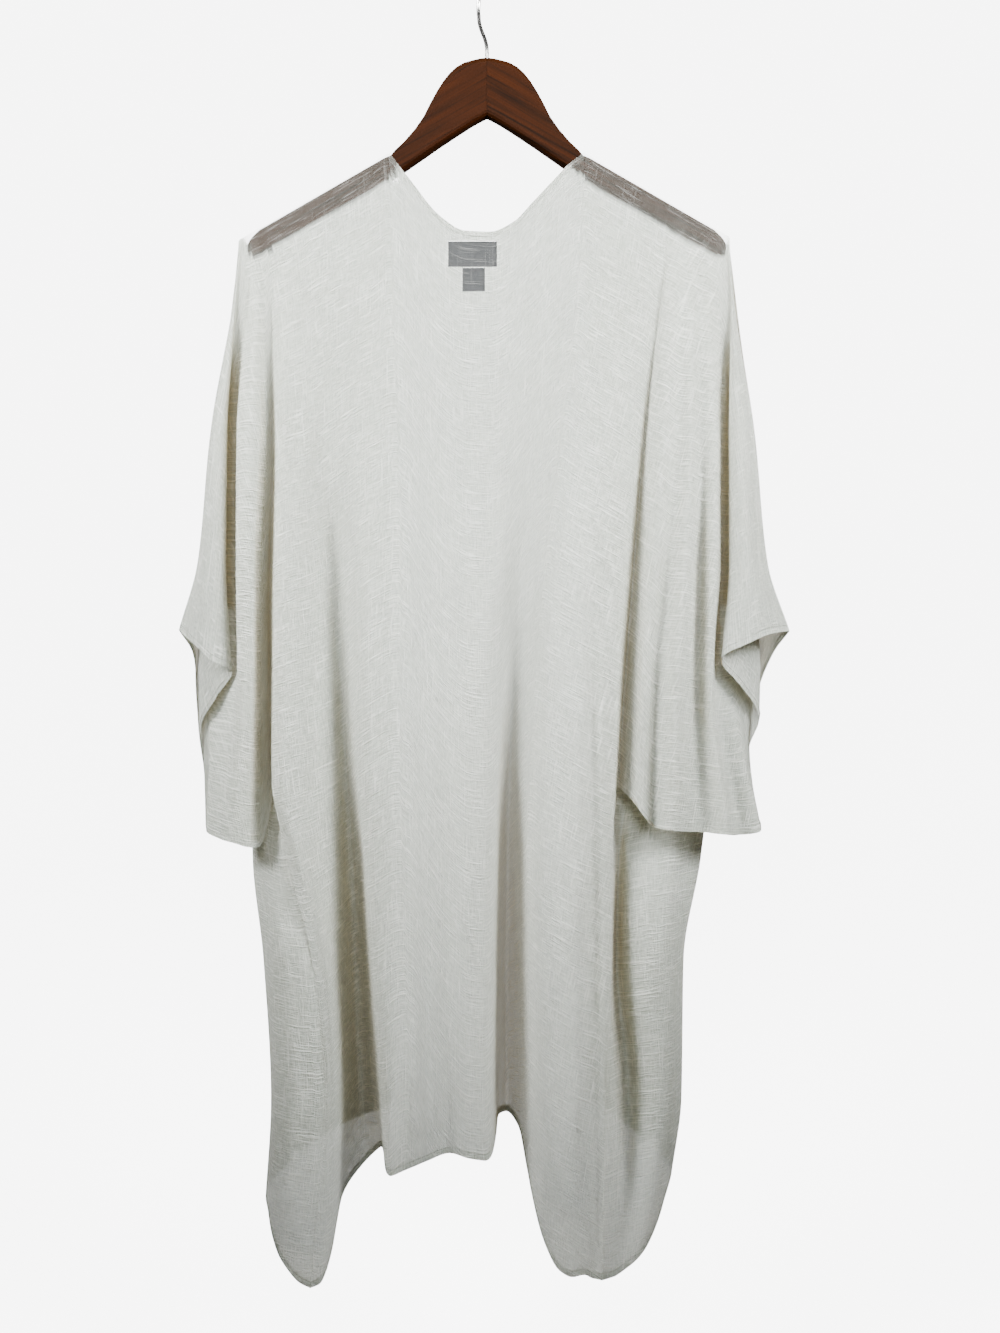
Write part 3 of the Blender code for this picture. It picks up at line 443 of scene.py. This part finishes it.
def creased(rows, side, seed, share=1.0):  # presses the creases into rows of points below the shoulder turn
    first = len(turnOver)
    grown = np.minimum(np.arange(len(rows) - first) / creaseGrow, 1)[:, None]
    shift = 0 if side < 0 else frontShift
    depth = creaseDepth(rows[first:, :, 0] + shift, rows[first:, :, 2], seed)
    rows[first:, :, 1] += side * (depth * grown) * share


def sheetNormals(cloth):
    points = np.array(cloth.points)
    total = np.zeros_like(points)
    for a, b, c, d in cloth.faces:
        cross = np.cross(points[c] - points[a], points[d] - points[b])
        for n in (a, b, c, d):
            total[n] += cross
    return unit(total)


def arcDown(grid):  # metres down each column from its top
    steps = np.linalg.norm(np.diff(grid, axis=0), axis=2)
    return np.concatenate([np.zeros((1, grid.shape[1])), np.cumsum(steps, axis=0)])


def arcAcross(line):
    steps = np.linalg.norm(np.diff(line, axis=0), axis=1)
    return np.concatenate([[0], np.cumsum(steps)])


def flatTop(xTop):  # along the shoulder from the centre of the neck, in metres
    reach = np.abs(xTop) / mm
    beyond = np.maximum(reach - coat["neckHalf"], 0) * math.hypot(1, coat["shoulderSlope"])
    return np.sign(xTop) * (np.minimum(reach, coat["neckHalf"]) * coat["neckStretch"] + beyond) * mm


def flatBody(grid):
    v = arcDown(grid)
    share = v / v[-1]
    bottom = arcAcross(grid[-1])
    middle = bottom[int(np.argmin(np.abs(grid[0, :, 0])))]
    bottom = bottom - middle if grid[0, 0, 0] < grid[0, -1, 0] else middle - bottom
    top = flatTop(grid[0, :, 0])
    u = top + (bottom - top) * share
    return np.stack([u, v], axis=-1)


def flatSleeve(grid, firstFlat, underEnd, side):
    count = grid.shape[1]
    v0 = arcDown(grid)
    share = v0 / v0[-1]
    along = arcAcross(grid[-1])
    uA, vA = firstFlat[-1]
    uTop = firstFlat[0][0]
    flat = np.zeros(grid.shape[:2] + (2,))
    for i in range(count):
        if i <= underEnd:
            endU, endV = uA + side * along[i], vA
        else:
            rise = (along[i] - along[underEnd]) / (along[-1] - along[underEnd])
            endU, endV = uA + side * along[underEnd], vA * (1 - rise)
        startU = uTop + side * coat["sleeveSpread"] * i / (count - 1)
        flat[:, i, 0] = startU + (endU - startU) * share[:, i]
        flat[:, i, 1] = endV * share[:, i]
    flat[:, 0] = firstFlat
    return flat


def makeSheet(name, folds, sleeves, side, forks, neckHem, openEdge, seed):
    cloth = Cloth(name)
    steps = coat["stepsAcross"]
    upper = len(turnOver) + coat["rowsUpper"]
    knots = bodyKnots(folds, side, *forks)
    rows = spread(knots, steps)
    creased(rows, side, seed)
    grid = placed(rows)
    flat = flatBody(grid)
    fromEnd = (arcDown(grid)[-1] - arcDown(grid)) / mm
    hem = fromEnd
    if neckHem:
        free = np.abs(rows[0, :, 0]) < coat["neckHalf"] - coat["neckClear"]
        hem = np.where(free[None, :], np.minimum(hem, arcDown(grid) / mm), hem)
    if openEdge:
        across = np.linalg.norm(grid - grid[:, -1:], axis=2) / mm
        hem = np.minimum(hem, across)
    rising = rows[0, -1, 0] > rows[0, 0, 0]
    turned = (side > 0) == bool(rising)
    body = cloth.add(grid, flat, hem, flip=turned)
    for sleeve, column in sleeves:
        sign = -1 if column == 0 and side < 0 or sleeve[0]["top"] < 0 else 1
        lines = spread(sleeveKnots(sleeve, side, knots[:upper, column]), steps)
        fade = np.ones(lines.shape[1])
        fade[: steps] = np.arange(steps) / steps
        fade[-steps - 1:] = np.arange(steps + 1)[::-1] / steps
        creased(lines, side, seed + 5, fade)
        sleeveGrid = placed(lines)
        sleeveGrid[:, 0] = grid[:upper, column]
        underEnd = steps * (1 + [row["fold"] for row in sleeve].index("underarm_end"))
        sleeveFlat = flatSleeve(sleeveGrid, flat[:upper, column], underEnd, sign)
        fromCuff = (arcDown(sleeveGrid)[-1] - arcDown(sleeveGrid)) / mm
        fromCuff[:, :underEnd] = 99
        mirrored = (sign > 0) == (side > 0)
        numbers = cloth.add(sleeveGrid, sleeveFlat, fromCuff, flip=mirrored, shared=body[:upper, column])
        cuff = (numbers[-1, underEnd:], numbers[-3, underEnd:], mirrored)
        cloth.cuffs.append(cuff)
    normals = sheetNormals(cloth)
    cloth.turnHem(list(body[-1]), list(body[-3]), normals, flip=turned)
    for edge, inner, flip in cloth.cuffs:
        cloth.turnHem(list(edge), list(inner), normals, flip)
    if neckHem:
        free = [i for i in range(body.shape[1]) if abs(rows[0, i, 0]) < coat["neckHalf"] - coat["neckClear"]]
        cloth.turnHem([body[0, i] for i in free], [body[4, i] for i in free], normals, flip=not turned)
    if openEdge:
        edge = list(body[:, -1])
        inner = list(body[:, -2])
        cloth.turnHem(edge, inner, normals, flip=not turned)
    piece = cloth.build(gauzeCloth)
    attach(piece, "root")
    print("made", name, len(cloth.faces), "faces")
    return piece, grid


def linear(hexColour):  # sRGB hex to linear, as the shader wants it
    parts = [int(hexColour[i:i + 2], 16) / 255 for i in (1, 3, 5)]
    return tuple(p / 12.92 if p <= 0.04045 else ((p + 0.055) / 1.055) ** 2.4 for p in parts) + (1.0,)


def newMaterial(name):
    material = bpy.data.materials.new(name)
    material.use_nodes = True
    material.node_tree.nodes.clear()
    return material, material.node_tree


def addNode(tree, kind, settings=None, **links):
    node = tree.nodes.new(kind)
    for key, value in (settings or {}).items():
        if key.startswith("in:"):
            node.inputs[int(key[3:]) if key[3:].isdigit() else key[3:]].default_value = value
        else:
            setattr(node, key, value)
    for key, socket in links.items():
        place = key.replace("_", " ").strip()
        numbered = place[0] == "n" and place[1:].isdigit()
        tree.links.new(socket, node.inputs[int(place[1:]) if numbered else place])
    return node


# Slub gauze: open plain weave of thick-and-thin yarn. Long thick threads catch the light and the gaps
# between threads let a little of what is behind show through.
gauze = {
    "colour": "#bfc7bc",
    "thick": "#f9fdf5",
    "through": "#ece4cc",
    "translucent": 0.28,
    "open": 0.012,
    "contactOpen": 0.95,
    "woodShows": 0.97,
    # painted shade: the darker, warmer colour painted into folds and crevices, full where little room is open
    # around the cloth and none where much is
    "paintedFoldShade": "#b5a486",
    "foldShadeFull": 0.14,
    "foldShadeNone": 0.66,
    "slubLength": 34.0,  # mm along the thread
    "slubThick": 1.8,  # mm, a real one is 0.6: drawn coarser to show
    "yarn": 1.6,  # mm from thread to thread, drawn coarser than the real 0.6
}


def threads(tree, flat, alongU, length, thick, seed):  # thick-and-thin threads along one way of the cloth
    scale = (1 / (length * mm), 1 / (thick * mm)) if alongU else (1 / (thick * mm), 1 / (length * mm))
    settings = {"in:Scale": (scale[0], scale[1], 1), "in:Location": (seed, seed * 1.7, 0)}
    stretch = addNode(tree, "ShaderNodeMapping", settings, Vector=flat)
    settings = {"in:Scale": 1.0, "in:Detail": 2.0, "in:Roughness": 0.55}
    return addNode(tree, "ShaderNodeTexNoise", settings, Vector=stretch.outputs[0]).outputs[0]


def spanOf(tree, value, low, high, toLow, toHigh):
    settings = {"in:From Min": low, "in:From Max": high, "in:To Min": toLow, "in:To Max": toHigh}
    return addNode(tree, "ShaderNodeMapRange", settings, Value=value).outputs[0]


def mathOf(tree, operation, first, second):
    node = addNode(tree, "ShaderNodeMath", {"operation": operation})
    for place, value in enumerate((first, second)):
        if isinstance(value, (int, float)):
            node.inputs[place].default_value = value
        else:
            tree.links.new(value, node.inputs[place])
    return node.outputs[0]


# Labels: middle across, half width, top and lower drop, all mm
labels = table("""
fold        x    half  top    low
neckLabel  -13   22.5  247    270.5
sizeTab    -12   10.5  271    293
""")


def overLabel(tree):  # where a dark label lies right behind the gauze, soft over the last 1 mm
    place = addNode(tree, "ShaderNodeTexCoord").outputs["Object"]
    parts = addNode(tree, "ShaderNodeSeparateXYZ", None, Vector=place)
    total = None
    for row in labels:
        half = row["half"] * mm
        tall = (row["low"] - row["top"]) / 2 * mm
        across = mathOf(tree, "ABSOLUTE", mathOf(tree, "SUBTRACT", parts.outputs[0], row["x"] * mm), 0.0)
        middle = (row["low"] + row["top"]) / 2 * mm
        down = mathOf(tree, "ABSOLUTE", mathOf(tree, "ADD", parts.outputs[2], middle), 0.0)
        inX = spanOf(tree, across, half - 0.6 * mm, half + 0.5 * mm, 1.0, 0.0)
        inZ = spanOf(tree, down, tall - 0.6 * mm, tall + 0.5 * mm, 1.0, 0.0)
        mask = mathOf(tree, "MULTIPLY", inX, inZ)
        total = mask if total is None else mathOf(tree, "MAXIMUM", total, mask)
    return total


def gauzeMaterial():
    material, tree = newMaterial("slubGauze")
    flat = addNode(tree, "ShaderNodeUVMap", {"uv_map": "flat"}).outputs[0]
    weft = threads(tree, flat, True, gauze["slubLength"], gauze["slubThick"], 3.0)
    warp = threads(tree, flat, False, gauze["slubLength"] * 1.3, gauze["slubThick"], 11.0)
    fineWeft = threads(tree, flat, True, 9.0, gauze["yarn"] * 0.8, 23.0)
    fineWarp = threads(tree, flat, False, 9.0, gauze["yarn"] * 0.8, 31.0)
    cloud = threads(tree, flat, True, 60.0, 40.0, 47.0)
    weftSlub = spanOf(tree, weft, 0.53, 0.66, 0.0, 1.0)
    warpSlub = spanOf(tree, warp, 0.57, 0.70, 0.0, 0.75)
    slub = mathOf(tree, "MAXIMUM", weftSlub, warpSlub)
    weave = mathOf(tree, "ADD", fineWeft, fineWarp)
    cover = mathOf(tree, "ADD", spanOf(tree, weave, 0.7, 1.3, 0.0, 1.0), slub)
    hem = addNode(tree, "ShaderNodeAttribute", {"attribute_name": "hem"}).outputs["Fac"]
    contact = addNode(tree, "ShaderNodeAttribute", {"attribute_name": "contact"}).outputs["Fac"]
    openAround = addNode(tree, "ShaderNodeAttribute", {"attribute_name": "openAround"}).outputs["Fac"]
    # painted shade: how much fold shade each point gets, from the room left open around it
    paintedFoldShade = spanOf(tree, openAround, gauze["foldShadeFull"], gauze["foldShadeNone"], 1.0, 0.0)
    inHem = spanOf(tree, hem, coat["hemWidth"] - 0.6, coat["hemWidth"] + 0.6, 1.0, 0.0)
    fromStitch = mathOf(tree, "ABSOLUTE", mathOf(tree, "SUBTRACT", hem, coat["hemWidth"] - 1.0), 0.0)
    stitch = mathOf(tree, "SUBTRACT", 1.0, spanOf(tree, fromStitch, 0.2, 0.9, 0.0, 1.0))
    gaps = spanOf(tree, cover, 0.15, 1.1, gauze["open"] * 2.0, gauze["open"] * 0.25)
    weaveHole = mathOf(tree, "MULTIPLY", gaps, spanOf(tree, inHem, 0.0, 1.0, 1.0, 0.45))
    thin = mathOf(tree, "SUBTRACT", gauze["contactOpen"], mathOf(tree, "MULTIPLY", slub, 0.1))
    backed = mathOf(tree, "MAXIMUM", contact, overLabel(tree))
    hole = mathOf(tree, "MAXIMUM", weaveHole, mathOf(tree, "MULTIPLY", backed, thin))
    settings = {"data_type": "RGBA", "in:6": linear(gauze["colour"]), "in:7": linear(gauze["thick"])}
    base = addNode(tree, "ShaderNodeMix", settings)
    tree.links.new(spanOf(tree, cover, 0.25, 1.3, 0.0, 1.0), base.inputs[0])
    settings = {"data_type": "RGBA", "blend_type": "MULTIPLY", "in:0": 1.0}
    shade = addNode(tree, "ShaderNodeMix", settings, n6=base.outputs[2])
    cloudy = spanOf(tree, cloud, 0.3, 0.7, 0.965, 1.0)
    tone = mathOf(tree, "SUBTRACT", cloudy, mathOf(tree, "MULTIPLY", stitch, 0.08))
    grey = addNode(tree, "ShaderNodeCombineColor")
    for k in range(3):
        tree.links.new(tone, grey.inputs[k])
    tree.links.new(grey.outputs[0], shade.inputs[7])
    # painted shade: the cloth colour is darkened and warmed in folds and crevices
    settings = {"data_type": "RGBA", "blend_type": "MULTIPLY", "in:7": linear(gauze["paintedFoldShade"])}
    foldShadeMix = addNode(tree, "ShaderNodeMix", settings, n0=paintedFoldShade, n6=shade.outputs[2])
    height = mathOf(tree, "SUBTRACT", cover, mathOf(tree, "MULTIPLY", stitch, 0.8))
    bump = addNode(tree, "ShaderNodeBump", {"in:Strength": 0.8, "in:Distance": 0.001}, Height=height)
    finish = {"in:Roughness": 0.85, "in:Sheen Weight": 0.25, "in:Sheen Roughness": 0.5, "in:IOR": 1.5,
              "in:Specular IOR Level": 0.25}
    colour, normal = foldShadeMix.outputs[2], bump.outputs[0]
    cloth = addNode(tree, "ShaderNodeBsdfPrincipled", finish, Base_Color=colour, Normal=normal)
    seen = {"in:Color": linear(gauze["through"])}
    through = addNode(tree, "ShaderNodeBsdfTranslucent", seen, Normal=normal)
    share = {"in:0": gauze["translucent"]}
    lit = addNode(tree, "ShaderNodeMixShader", share, n1=cloth.outputs[0], n2=through.outputs[0])
    clear = addNode(tree, "ShaderNodeBsdfTransparent")
    whole = addNode(tree, "ShaderNodeMixShader", None, n0=hole, n1=lit.outputs[0], n2=clear.outputs[0])
    addNode(tree, "ShaderNodeOutputMaterial", None, Surface=whole.outputs[0])
    return material


# Stained hardwood under satin varnish: dark grain lines that run down each arm
wood = {
    "dark": "#100500",
    "mid": "#200c01",
    "light": "#2d1202",
    "grain": 3.6,  # mm from one dark line to the next
    "tilt": 0.52,  # radians, the arm's fall from level
    "figureLong": 0.12,
    "figureDeep": 0.02,
}


def woodMaterial(sign):
    material, tree = newMaterial("stainedWood" + ("Right" if sign > 0 else "Left"))
    place = addNode(tree, "ShaderNodeTexCoord").outputs["Object"]
    settings = {"vector_type": "TEXTURE", "in:Rotation": (0, sign * wood["tilt"], 0),
                "in:Scale": (wood["figureLong"], wood["figureDeep"], wood["grain"] * mm)}
    turn = addNode(tree, "ShaderNodeMapping", settings, Vector=place)
    settings = {"in:Scale": 1.0, "in:Detail": 4.0, "in:Roughness": 0.6, "in:Distortion": 0.3}
    grain = addNode(tree, "ShaderNodeTexNoise", settings, Vector=turn.outputs[0])
    ramp = addNode(tree, "ShaderNodeValToRGB", None, Fac=grain.outputs[0])
    ramp.color_ramp.elements[0].position = 0.33
    ramp.color_ramp.elements[0].color = linear(wood["dark"])
    ramp.color_ramp.elements[1].position = 0.72
    ramp.color_ramp.elements[1].color = linear(wood["light"])
    ramp.color_ramp.elements.new(0.44).color = linear(wood["mid"])
    relief = {"in:Strength": 0.15, "in:Distance": 0.0004}
    bump = addNode(tree, "ShaderNodeBump", relief, Height=grain.outputs[0]).outputs[0]
    finish = {"in:Roughness": 0.55, "in:Specular IOR Level": 0.05}
    shader = addNode(tree, "ShaderNodeBsdfPrincipled", finish, Base_Color=ramp.outputs[0], Normal=bump)
    addNode(tree, "ShaderNodeOutputMaterial", None, Surface=shader.outputs[0])
    return material


# Bright plated steel wire: its shine varies a little from place to place
wire = {
    "colour": "#c9c9c6",
    "thick": 3.5,
    "radius": 22.0,
    "turn": math.radians(68),
    "woodTop": 78.0,
    "shank": 18.0,
}


def wireMaterial():
    material, tree = newMaterial("platedWire")
    place = addNode(tree, "ShaderNodeTexCoord").outputs["Object"]
    noise = addNode(tree, "ShaderNodeTexNoise", {"in:Scale": 900.0, "in:Detail": 2.0}, Vector=place)
    rough = spanOf(tree, noise.outputs[0], 0.3, 0.7, 0.18, 0.32)
    finish = {"in:Base Color": linear(wire["colour"]), "in:Metallic": 1.0}
    shader = addNode(tree, "ShaderNodeBsdfPrincipled", finish, Roughness=rough)
    addNode(tree, "ShaderNodeOutputMaterial", None, Surface=shader.outputs[0])
    return material


# Dark woven ribbon of the two labels: fine ribs across
ribbon = {"colour": "#141519", "light": "#25272c", "rib": 0.8}


def ribbonMaterial():
    material, tree = newMaterial("wovenRibbon")
    place = addNode(tree, "ShaderNodeTexCoord").outputs["Object"]
    ribs = {"in:Scale": (60.0, 60.0, 1 / (ribbon["rib"] * mm))}
    scaled = addNode(tree, "ShaderNodeMapping", ribs, Vector=place)
    rib = addNode(tree, "ShaderNodeTexNoise", {"in:Scale": 1.0, "in:Detail": 1.0}, Vector=scaled.outputs[0])
    ramp = addNode(tree, "ShaderNodeValToRGB", None, Fac=rib.outputs[0])
    ramp.color_ramp.elements[0].color = linear(ribbon["colour"])
    ramp.color_ramp.elements[1].color = linear(ribbon["light"])
    relief = {"in:Strength": 0.3, "in:Distance": 0.0003}
    bump = addNode(tree, "ShaderNodeBump", relief, Height=rib.outputs[0]).outputs[0]
    finish = {"in:Roughness": 0.7}
    shader = addNode(tree, "ShaderNodeBsdfPrincipled", finish, Base_Color=ramp.outputs[0], Normal=bump)
    addNode(tree, "ShaderNodeOutputMaterial", None, Surface=shader.outputs[0])
    return material


gauzeCloth = gauzeMaterial()
left, right = coat["underarmLeft"], coat["underarmRight"]
backSleeves = ((leftBackSleeve, 0), (rightBackSleeve, -1))
back, backGrid = makeSheet("clothBack", backFolds, backSleeves, -1, (left, right), True, False, 7)
leftSleeve, rightSleeve = ((leftFrontSleeve, 0),), ((rightFrontSleeve, 0),)
frontLeft, _ = makeSheet("clothFrontLeft", leftFrontFolds, leftSleeve, 1, (left, left), False, True, 19)
frontRight, _ = makeSheet("clothFrontRight", rightFrontFolds, rightSleeve, 1, (right, right), False, True, 29)
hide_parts("back")
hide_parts("front_left")
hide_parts("front_right")


def joined(pieces):
    points, faces = [], []
    for piece in pieces:
        base = len(points)
        points += [piece.matrix_world @ v.co for v in piece.data.vertices]
        faces += [[n + base for n in face.vertices] for face in piece.data.polygons]
    return BVHTree.FromPolygons(points, faces)


def hemisphere(count):  # even directions over a half ball about +Z, more of them near the pole
    spots = []
    for k in range(count):
        rise = math.sqrt(1 - (k + 0.5) / count)
        turn = k * 2.399963
        flat = math.sqrt(1 - rise * rise)
        spots.append((flat * math.cos(turn), flat * math.sin(turn), rise))
    return spots


def openness(piece, tree, reach):  # share of the room around each point that no cloth closes off
    spots = hemisphere(20)
    values = []
    for vertex in piece.data.vertices:
        best = 0.0
        # at a cuff both faces of the cloth show, so the freer one counts
        atCuff = abs(vertex.co.x) > 0.215 and vertex.co.z < -0.58
        for normal in (vertex.normal, -vertex.normal) if atCuff else (vertex.normal,):
            side = normal.orthogonal().normalized()
            other = normal.cross(side)
            start = vertex.co + normal * 1.2 * mm
            clear = 0.0
            for a, b, c in spots:
                hit = tree.ray_cast(start, side * a + other * b + normal * c, reach)
                clear += 1 if hit[0] is None else (hit[3] / reach) ** 2
            best = max(best, clear / len(spots))
        values.append(max(best, 0.45) if atCuff else best)
    return values


def contactWith(piece, tree, fade):  # how closely something dark lies right behind each point
    values = []
    for vertex in piece.data.vertices:
        hit = tree.ray_cast(vertex.co, -vertex.normal, 0.02)
        values.append(0.0 if hit[0] is None else math.exp(-((hit[3] / mm / fade) ** 2)))
    return values


def addValues(piece, name, values):
    layer = piece.data.attributes.new(name, "FLOAT", "POINT")
    layer.data.foreach_set("value", np.array(values, float))


cloths = (back, frontLeft, frontRight)
clothTree = joined(cloths)
# open room around each point, used only to paint shade into the folds of the gauze
airReach = 0.09
for piece in cloths:
    addValues(piece, "openAround", openness(piece, clothTree, airReach))


def clothArea(piece):
    return sum(face.area for face in piece.data.polygons)


print("measured the folds")
for piece in cloths:
    print("area", piece.name, round(clothArea(piece), 3))


labelNodes = {"neckLabel": "neck_label", "sizeTab": "size_tab"}


def depthAt(x, drop):  # depth of the back at a place on it, in mm
    across = backGrid[..., 0] / mm
    down = -backGrid[..., 2] / mm
    near = np.argsort(((across - x) ** 2 + (down - drop) ** 2).ravel())[:4]
    return backGrid[..., 1].ravel()[near].max() / mm


def makeLabel(row, material):
    across, down, clear, thick = 24, 12, 1.45, 0.8
    points, faces = [], []
    for face in (0, 1):
        for j in range(down + 1):
            for i in range(across + 1):
                x = row["x"] + row["half"] * (2 * i / across - 1)
                drop = row["top"] + (row["low"] - row["top"]) * j / down
                points.append((x * mm, (depthAt(x, drop) + clear + thick * (face - 0.5)) * mm, -drop * mm))
    wide = across + 1
    size = wide * (down + 1)
    for j in range(down):
        for i in range(across):
            a = j * wide + i
            faces.append([a, a + wide, a + wide + 1, a + 1])
            faces.append([size + a, size + a + 1, size + a + wide + 1, size + a + wide])
    rim = [i for i in range(across)] + [j * wide + across for j in range(down)]
    rim += [down * wide + i for i in range(across, 0, -1)] + [j * wide for j in range(down, 0, -1)]
    for k, a in enumerate(rim):
        b = rim[(k + 1) % len(rim)]
        faces.append([a, b, b + size, a + size])
    mesh = bpy.data.meshes.new(row["fold"])
    mesh.from_pydata(points, [], faces)
    mesh.shade_smooth()
    mesh.set_sharp_from_angle(angle=math.radians(50))
    mesh.materials.append(material)
    piece = bpy.data.objects.new(row["fold"], mesh)
    bpy.context.scene.collection.objects.link(piece)
    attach(piece, "root")
    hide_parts(labelNodes[row["fold"]])
    return piece


ribbonCloth = ribbonMaterial()
for row in labels:
    makeLabel(row, ribbonCloth)
woodTree = joined([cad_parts["hanger_left"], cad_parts["hanger_right"]])
for piece in cloths:
    onWood = contactWith(piece, woodTree, 15.0)
    addValues(piece, "contact", [gauze["woodShows"] * b for b in onWood])
print("made labels")

for side, sign in (("left", -1), ("right", 1)):
    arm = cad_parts["hanger_" + side]
    material = woodMaterial(sign)
    if not arm.material_slots:
        arm.data.materials.append(material)
    for slot in arm.material_slots:
        slot.material = material


def makeGlueLine():  # the dark joint between the two arms
    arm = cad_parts["hanger_left"]
    places = [arm.matrix_world @ v.co for v in arm.data.vertices]
    edge = max(p.x for p in places)
    rim = sorted({(round(p.y * 0.97, 5), round(p.z, 5)) for p in places if p.x > edge - 0.0002})
    turns = []
    for way in (rim, rim[::-1]):
        chain = []
        for p in way:
            while len(chain) > 1:
                (ay, az), (by, bz) = chain[-2], chain[-1]
                if (by - ay) * (p[1] - az) - (bz - az) * (p[0] - ay) > 0:
                    break
                chain.pop()
            chain.append(p)
        turns += chain[:-1]
    half = 0.13 * mm
    count = len(turns)
    points = [(x, y, z) for x in (-half, half) for y, z in turns]
    faces = [list(range(count))[::-1], list(range(count, 2 * count))]
    faces += [[k, (k + 1) % count, (k + 1) % count + count, k + count] for k in range(count)]
    mesh = bpy.data.meshes.new("glueLine")
    mesh.from_pydata(points, [], faces)
    mesh.materials.append(woodMaterial(1))
    piece = bpy.data.objects.new("glueLine", mesh)
    bpy.context.scene.collection.objects.link(piece)
    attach(piece, "root")


def makeHook():
    centre = -(wire["radius"] - wire["thick"] / 2)
    flat = [(0.0, -(wire["woodTop"] + wire["shank"])), (0.0, -wire["woodTop"]), (0.0, -wire["woodTop"] + 8)]
    leave = math.radians(200)
    meet = (wire["radius"] * math.cos(leave), centre + wire["radius"] * math.sin(leave))
    for step in range(1, 16):
        share = step / 16
        ease = share * share * (3 - 2 * share)
        flat.append((meet[0] * ease, flat[2][1] + (meet[1] - flat[2][1]) * share))
    for step in range(57):
        angle = leave - math.radians(225) * step / 56
        flat.append((wire["radius"] * math.cos(angle), centre + wire["radius"] * math.sin(angle)))
    curve = bpy.data.curves.new("wireHook", "CURVE")
    curve.dimensions = "3D"
    curve.bevel_depth = wire["thick"] / 2 * mm
    curve.bevel_resolution = 5
    curve.use_fill_caps = True
    spline = curve.splines.new("POLY")
    spline.points.add(len(flat) - 1)
    for point, (out, z) in zip(spline.points, flat):
        point.co = (out * math.cos(wire["turn"]) * mm, -out * math.sin(wire["turn"]) * mm, z * mm, 1)
    curve.materials.append(wireMaterial())
    piece = bpy.data.objects.new("wireHook", curve)
    bpy.context.scene.collection.objects.link(piece)
    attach(piece, "root")
    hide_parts("hook")


makeGlueLine()
makeHook()
print("made hanger finish and hook")

# Studio: pale paper floor and wall in one, soft lights, camera at the photograph's angle
studio = {
    "floor": -1.34,
    "wide": 6.0,
    "cove": 2.0,
    "tall": 9.0,
    "turns": 96,
    "paperLight": 7.0,
    "roomLight": 0.06,
    "camera": (0.012, -1.15, -0.6346),
    "sensor": 36,
    "seenHigh": 1.224,
}


def makeSweep():  # a round paper floor that curves up into a wall, the same from every side
    low, wide, cove, tall = studio["floor"], studio["wide"], studio["cove"], studio["tall"]
    profile = [(wide - cove, low)]
    for k in range(1, 13):
        angle = math.radians(90 * k / 12)
        profile.append((wide - cove + cove * math.sin(angle), low + cove - cove * math.cos(angle)))
    profile.append((wide, low + tall))
    turns = studio["turns"]
    points, faces = [(0, 0, low)], []
    for out, z in profile:
        for k in range(turns):
            angle = math.tau * k / turns
            points.append((out * math.cos(angle), out * math.sin(angle), z))
    for k in range(turns):
        after = (k + 1) % turns
        faces.append([0, 1 + k, 1 + after])
        for ring in range(len(profile) - 1):
            a = 1 + ring * turns
            faces.append([a + k, a + turns + k, a + turns + after, a + after])
    mesh = bpy.data.meshes.new("floorSweep")
    mesh.from_pydata(points, [], faces)
    mesh.shade_smooth()
    material, tree = newMaterial("palePaper")
    finish = {"in:Base Color": linear("#fbfbfb"), "in:Roughness": 0.95, "in:Emission Color": (1, 1, 1, 1),
              "in:Emission Strength": studio["paperLight"]}
    shader = addNode(tree, "ShaderNodeBsdfPrincipled", finish)
    addNode(tree, "ShaderNodeOutputMaterial", None, Surface=shader.outputs[0])
    mesh.materials.append(material)
    floor = bpy.data.objects.new("floorSweep", mesh)
    bpy.context.scene.collection.objects.link(floor)
    floor.visible_diffuse = False  # the paper glows for the eye only: it neither lights nor shades the coat
    floor.visible_glossy = False
    floor.visible_transmission = False
    floor.visible_shadow = False


def addLight(name, place, aim, size, cone, power):
    light = bpy.data.lights.new(name, "SPOT")
    light.shadow_soft_size = size
    light.spot_size = math.radians(cone)
    light.spot_blend = 0.42
    light.energy = power
    lamp = bpy.data.objects.new(name, light)
    lamp.location = place
    lamp.rotation_euler = (Vector(aim) - Vector(place)).to_track_quat("-Z", "Y").to_euler()
    bpy.context.scene.collection.objects.link(lamp)


makeSweep()
lights = (
    ("keyLeft", (-1.3, -0.85, 0.3), (-0.1, 0.0, -0.17), 0.36, 53, 395),
    ("keyRight", (1.3, -0.85, 0.3), (0.1, 0.0, -0.17), 0.36, 53, 385),
    ("backSoft", (0.0, -1.3, 0.3), (0.0, 0.0, -0.27), 0.3, 51, 85),
    ("farLeft", (-1.5, 1.5, 0.2), (-0.05, 0.05, -0.6), 0.5, 60, 75),
    ("farRight", (1.5, 1.5, 0.2), (0.05, 0.05, -0.6), 0.5, 60, 75),
)
for entry in lights:
    addLight(*entry)
world = bpy.data.worlds.new("whiteRoom")
bpy.context.scene.world = world
world.use_nodes = True
world.node_tree.nodes["Background"].inputs[0].default_value = (1, 1, 1, 1)
world.node_tree.nodes["Background"].inputs[1].default_value = studio["roomLight"]

camera = bpy.data.cameras.new("camera")
camera.sensor_fit = "VERTICAL"
camera.sensor_height = studio["sensor"]
camera.lens = studio["sensor"] * -studio["camera"][1] / studio["seenHigh"]
eye = bpy.data.objects.new("camera", camera)
eye.location = studio["camera"]
eye.rotation_euler = (math.radians(90), 0, 0)
bpy.context.scene.collection.objects.link(eye)
bpy.context.scene.camera = eye
print("studio ready")
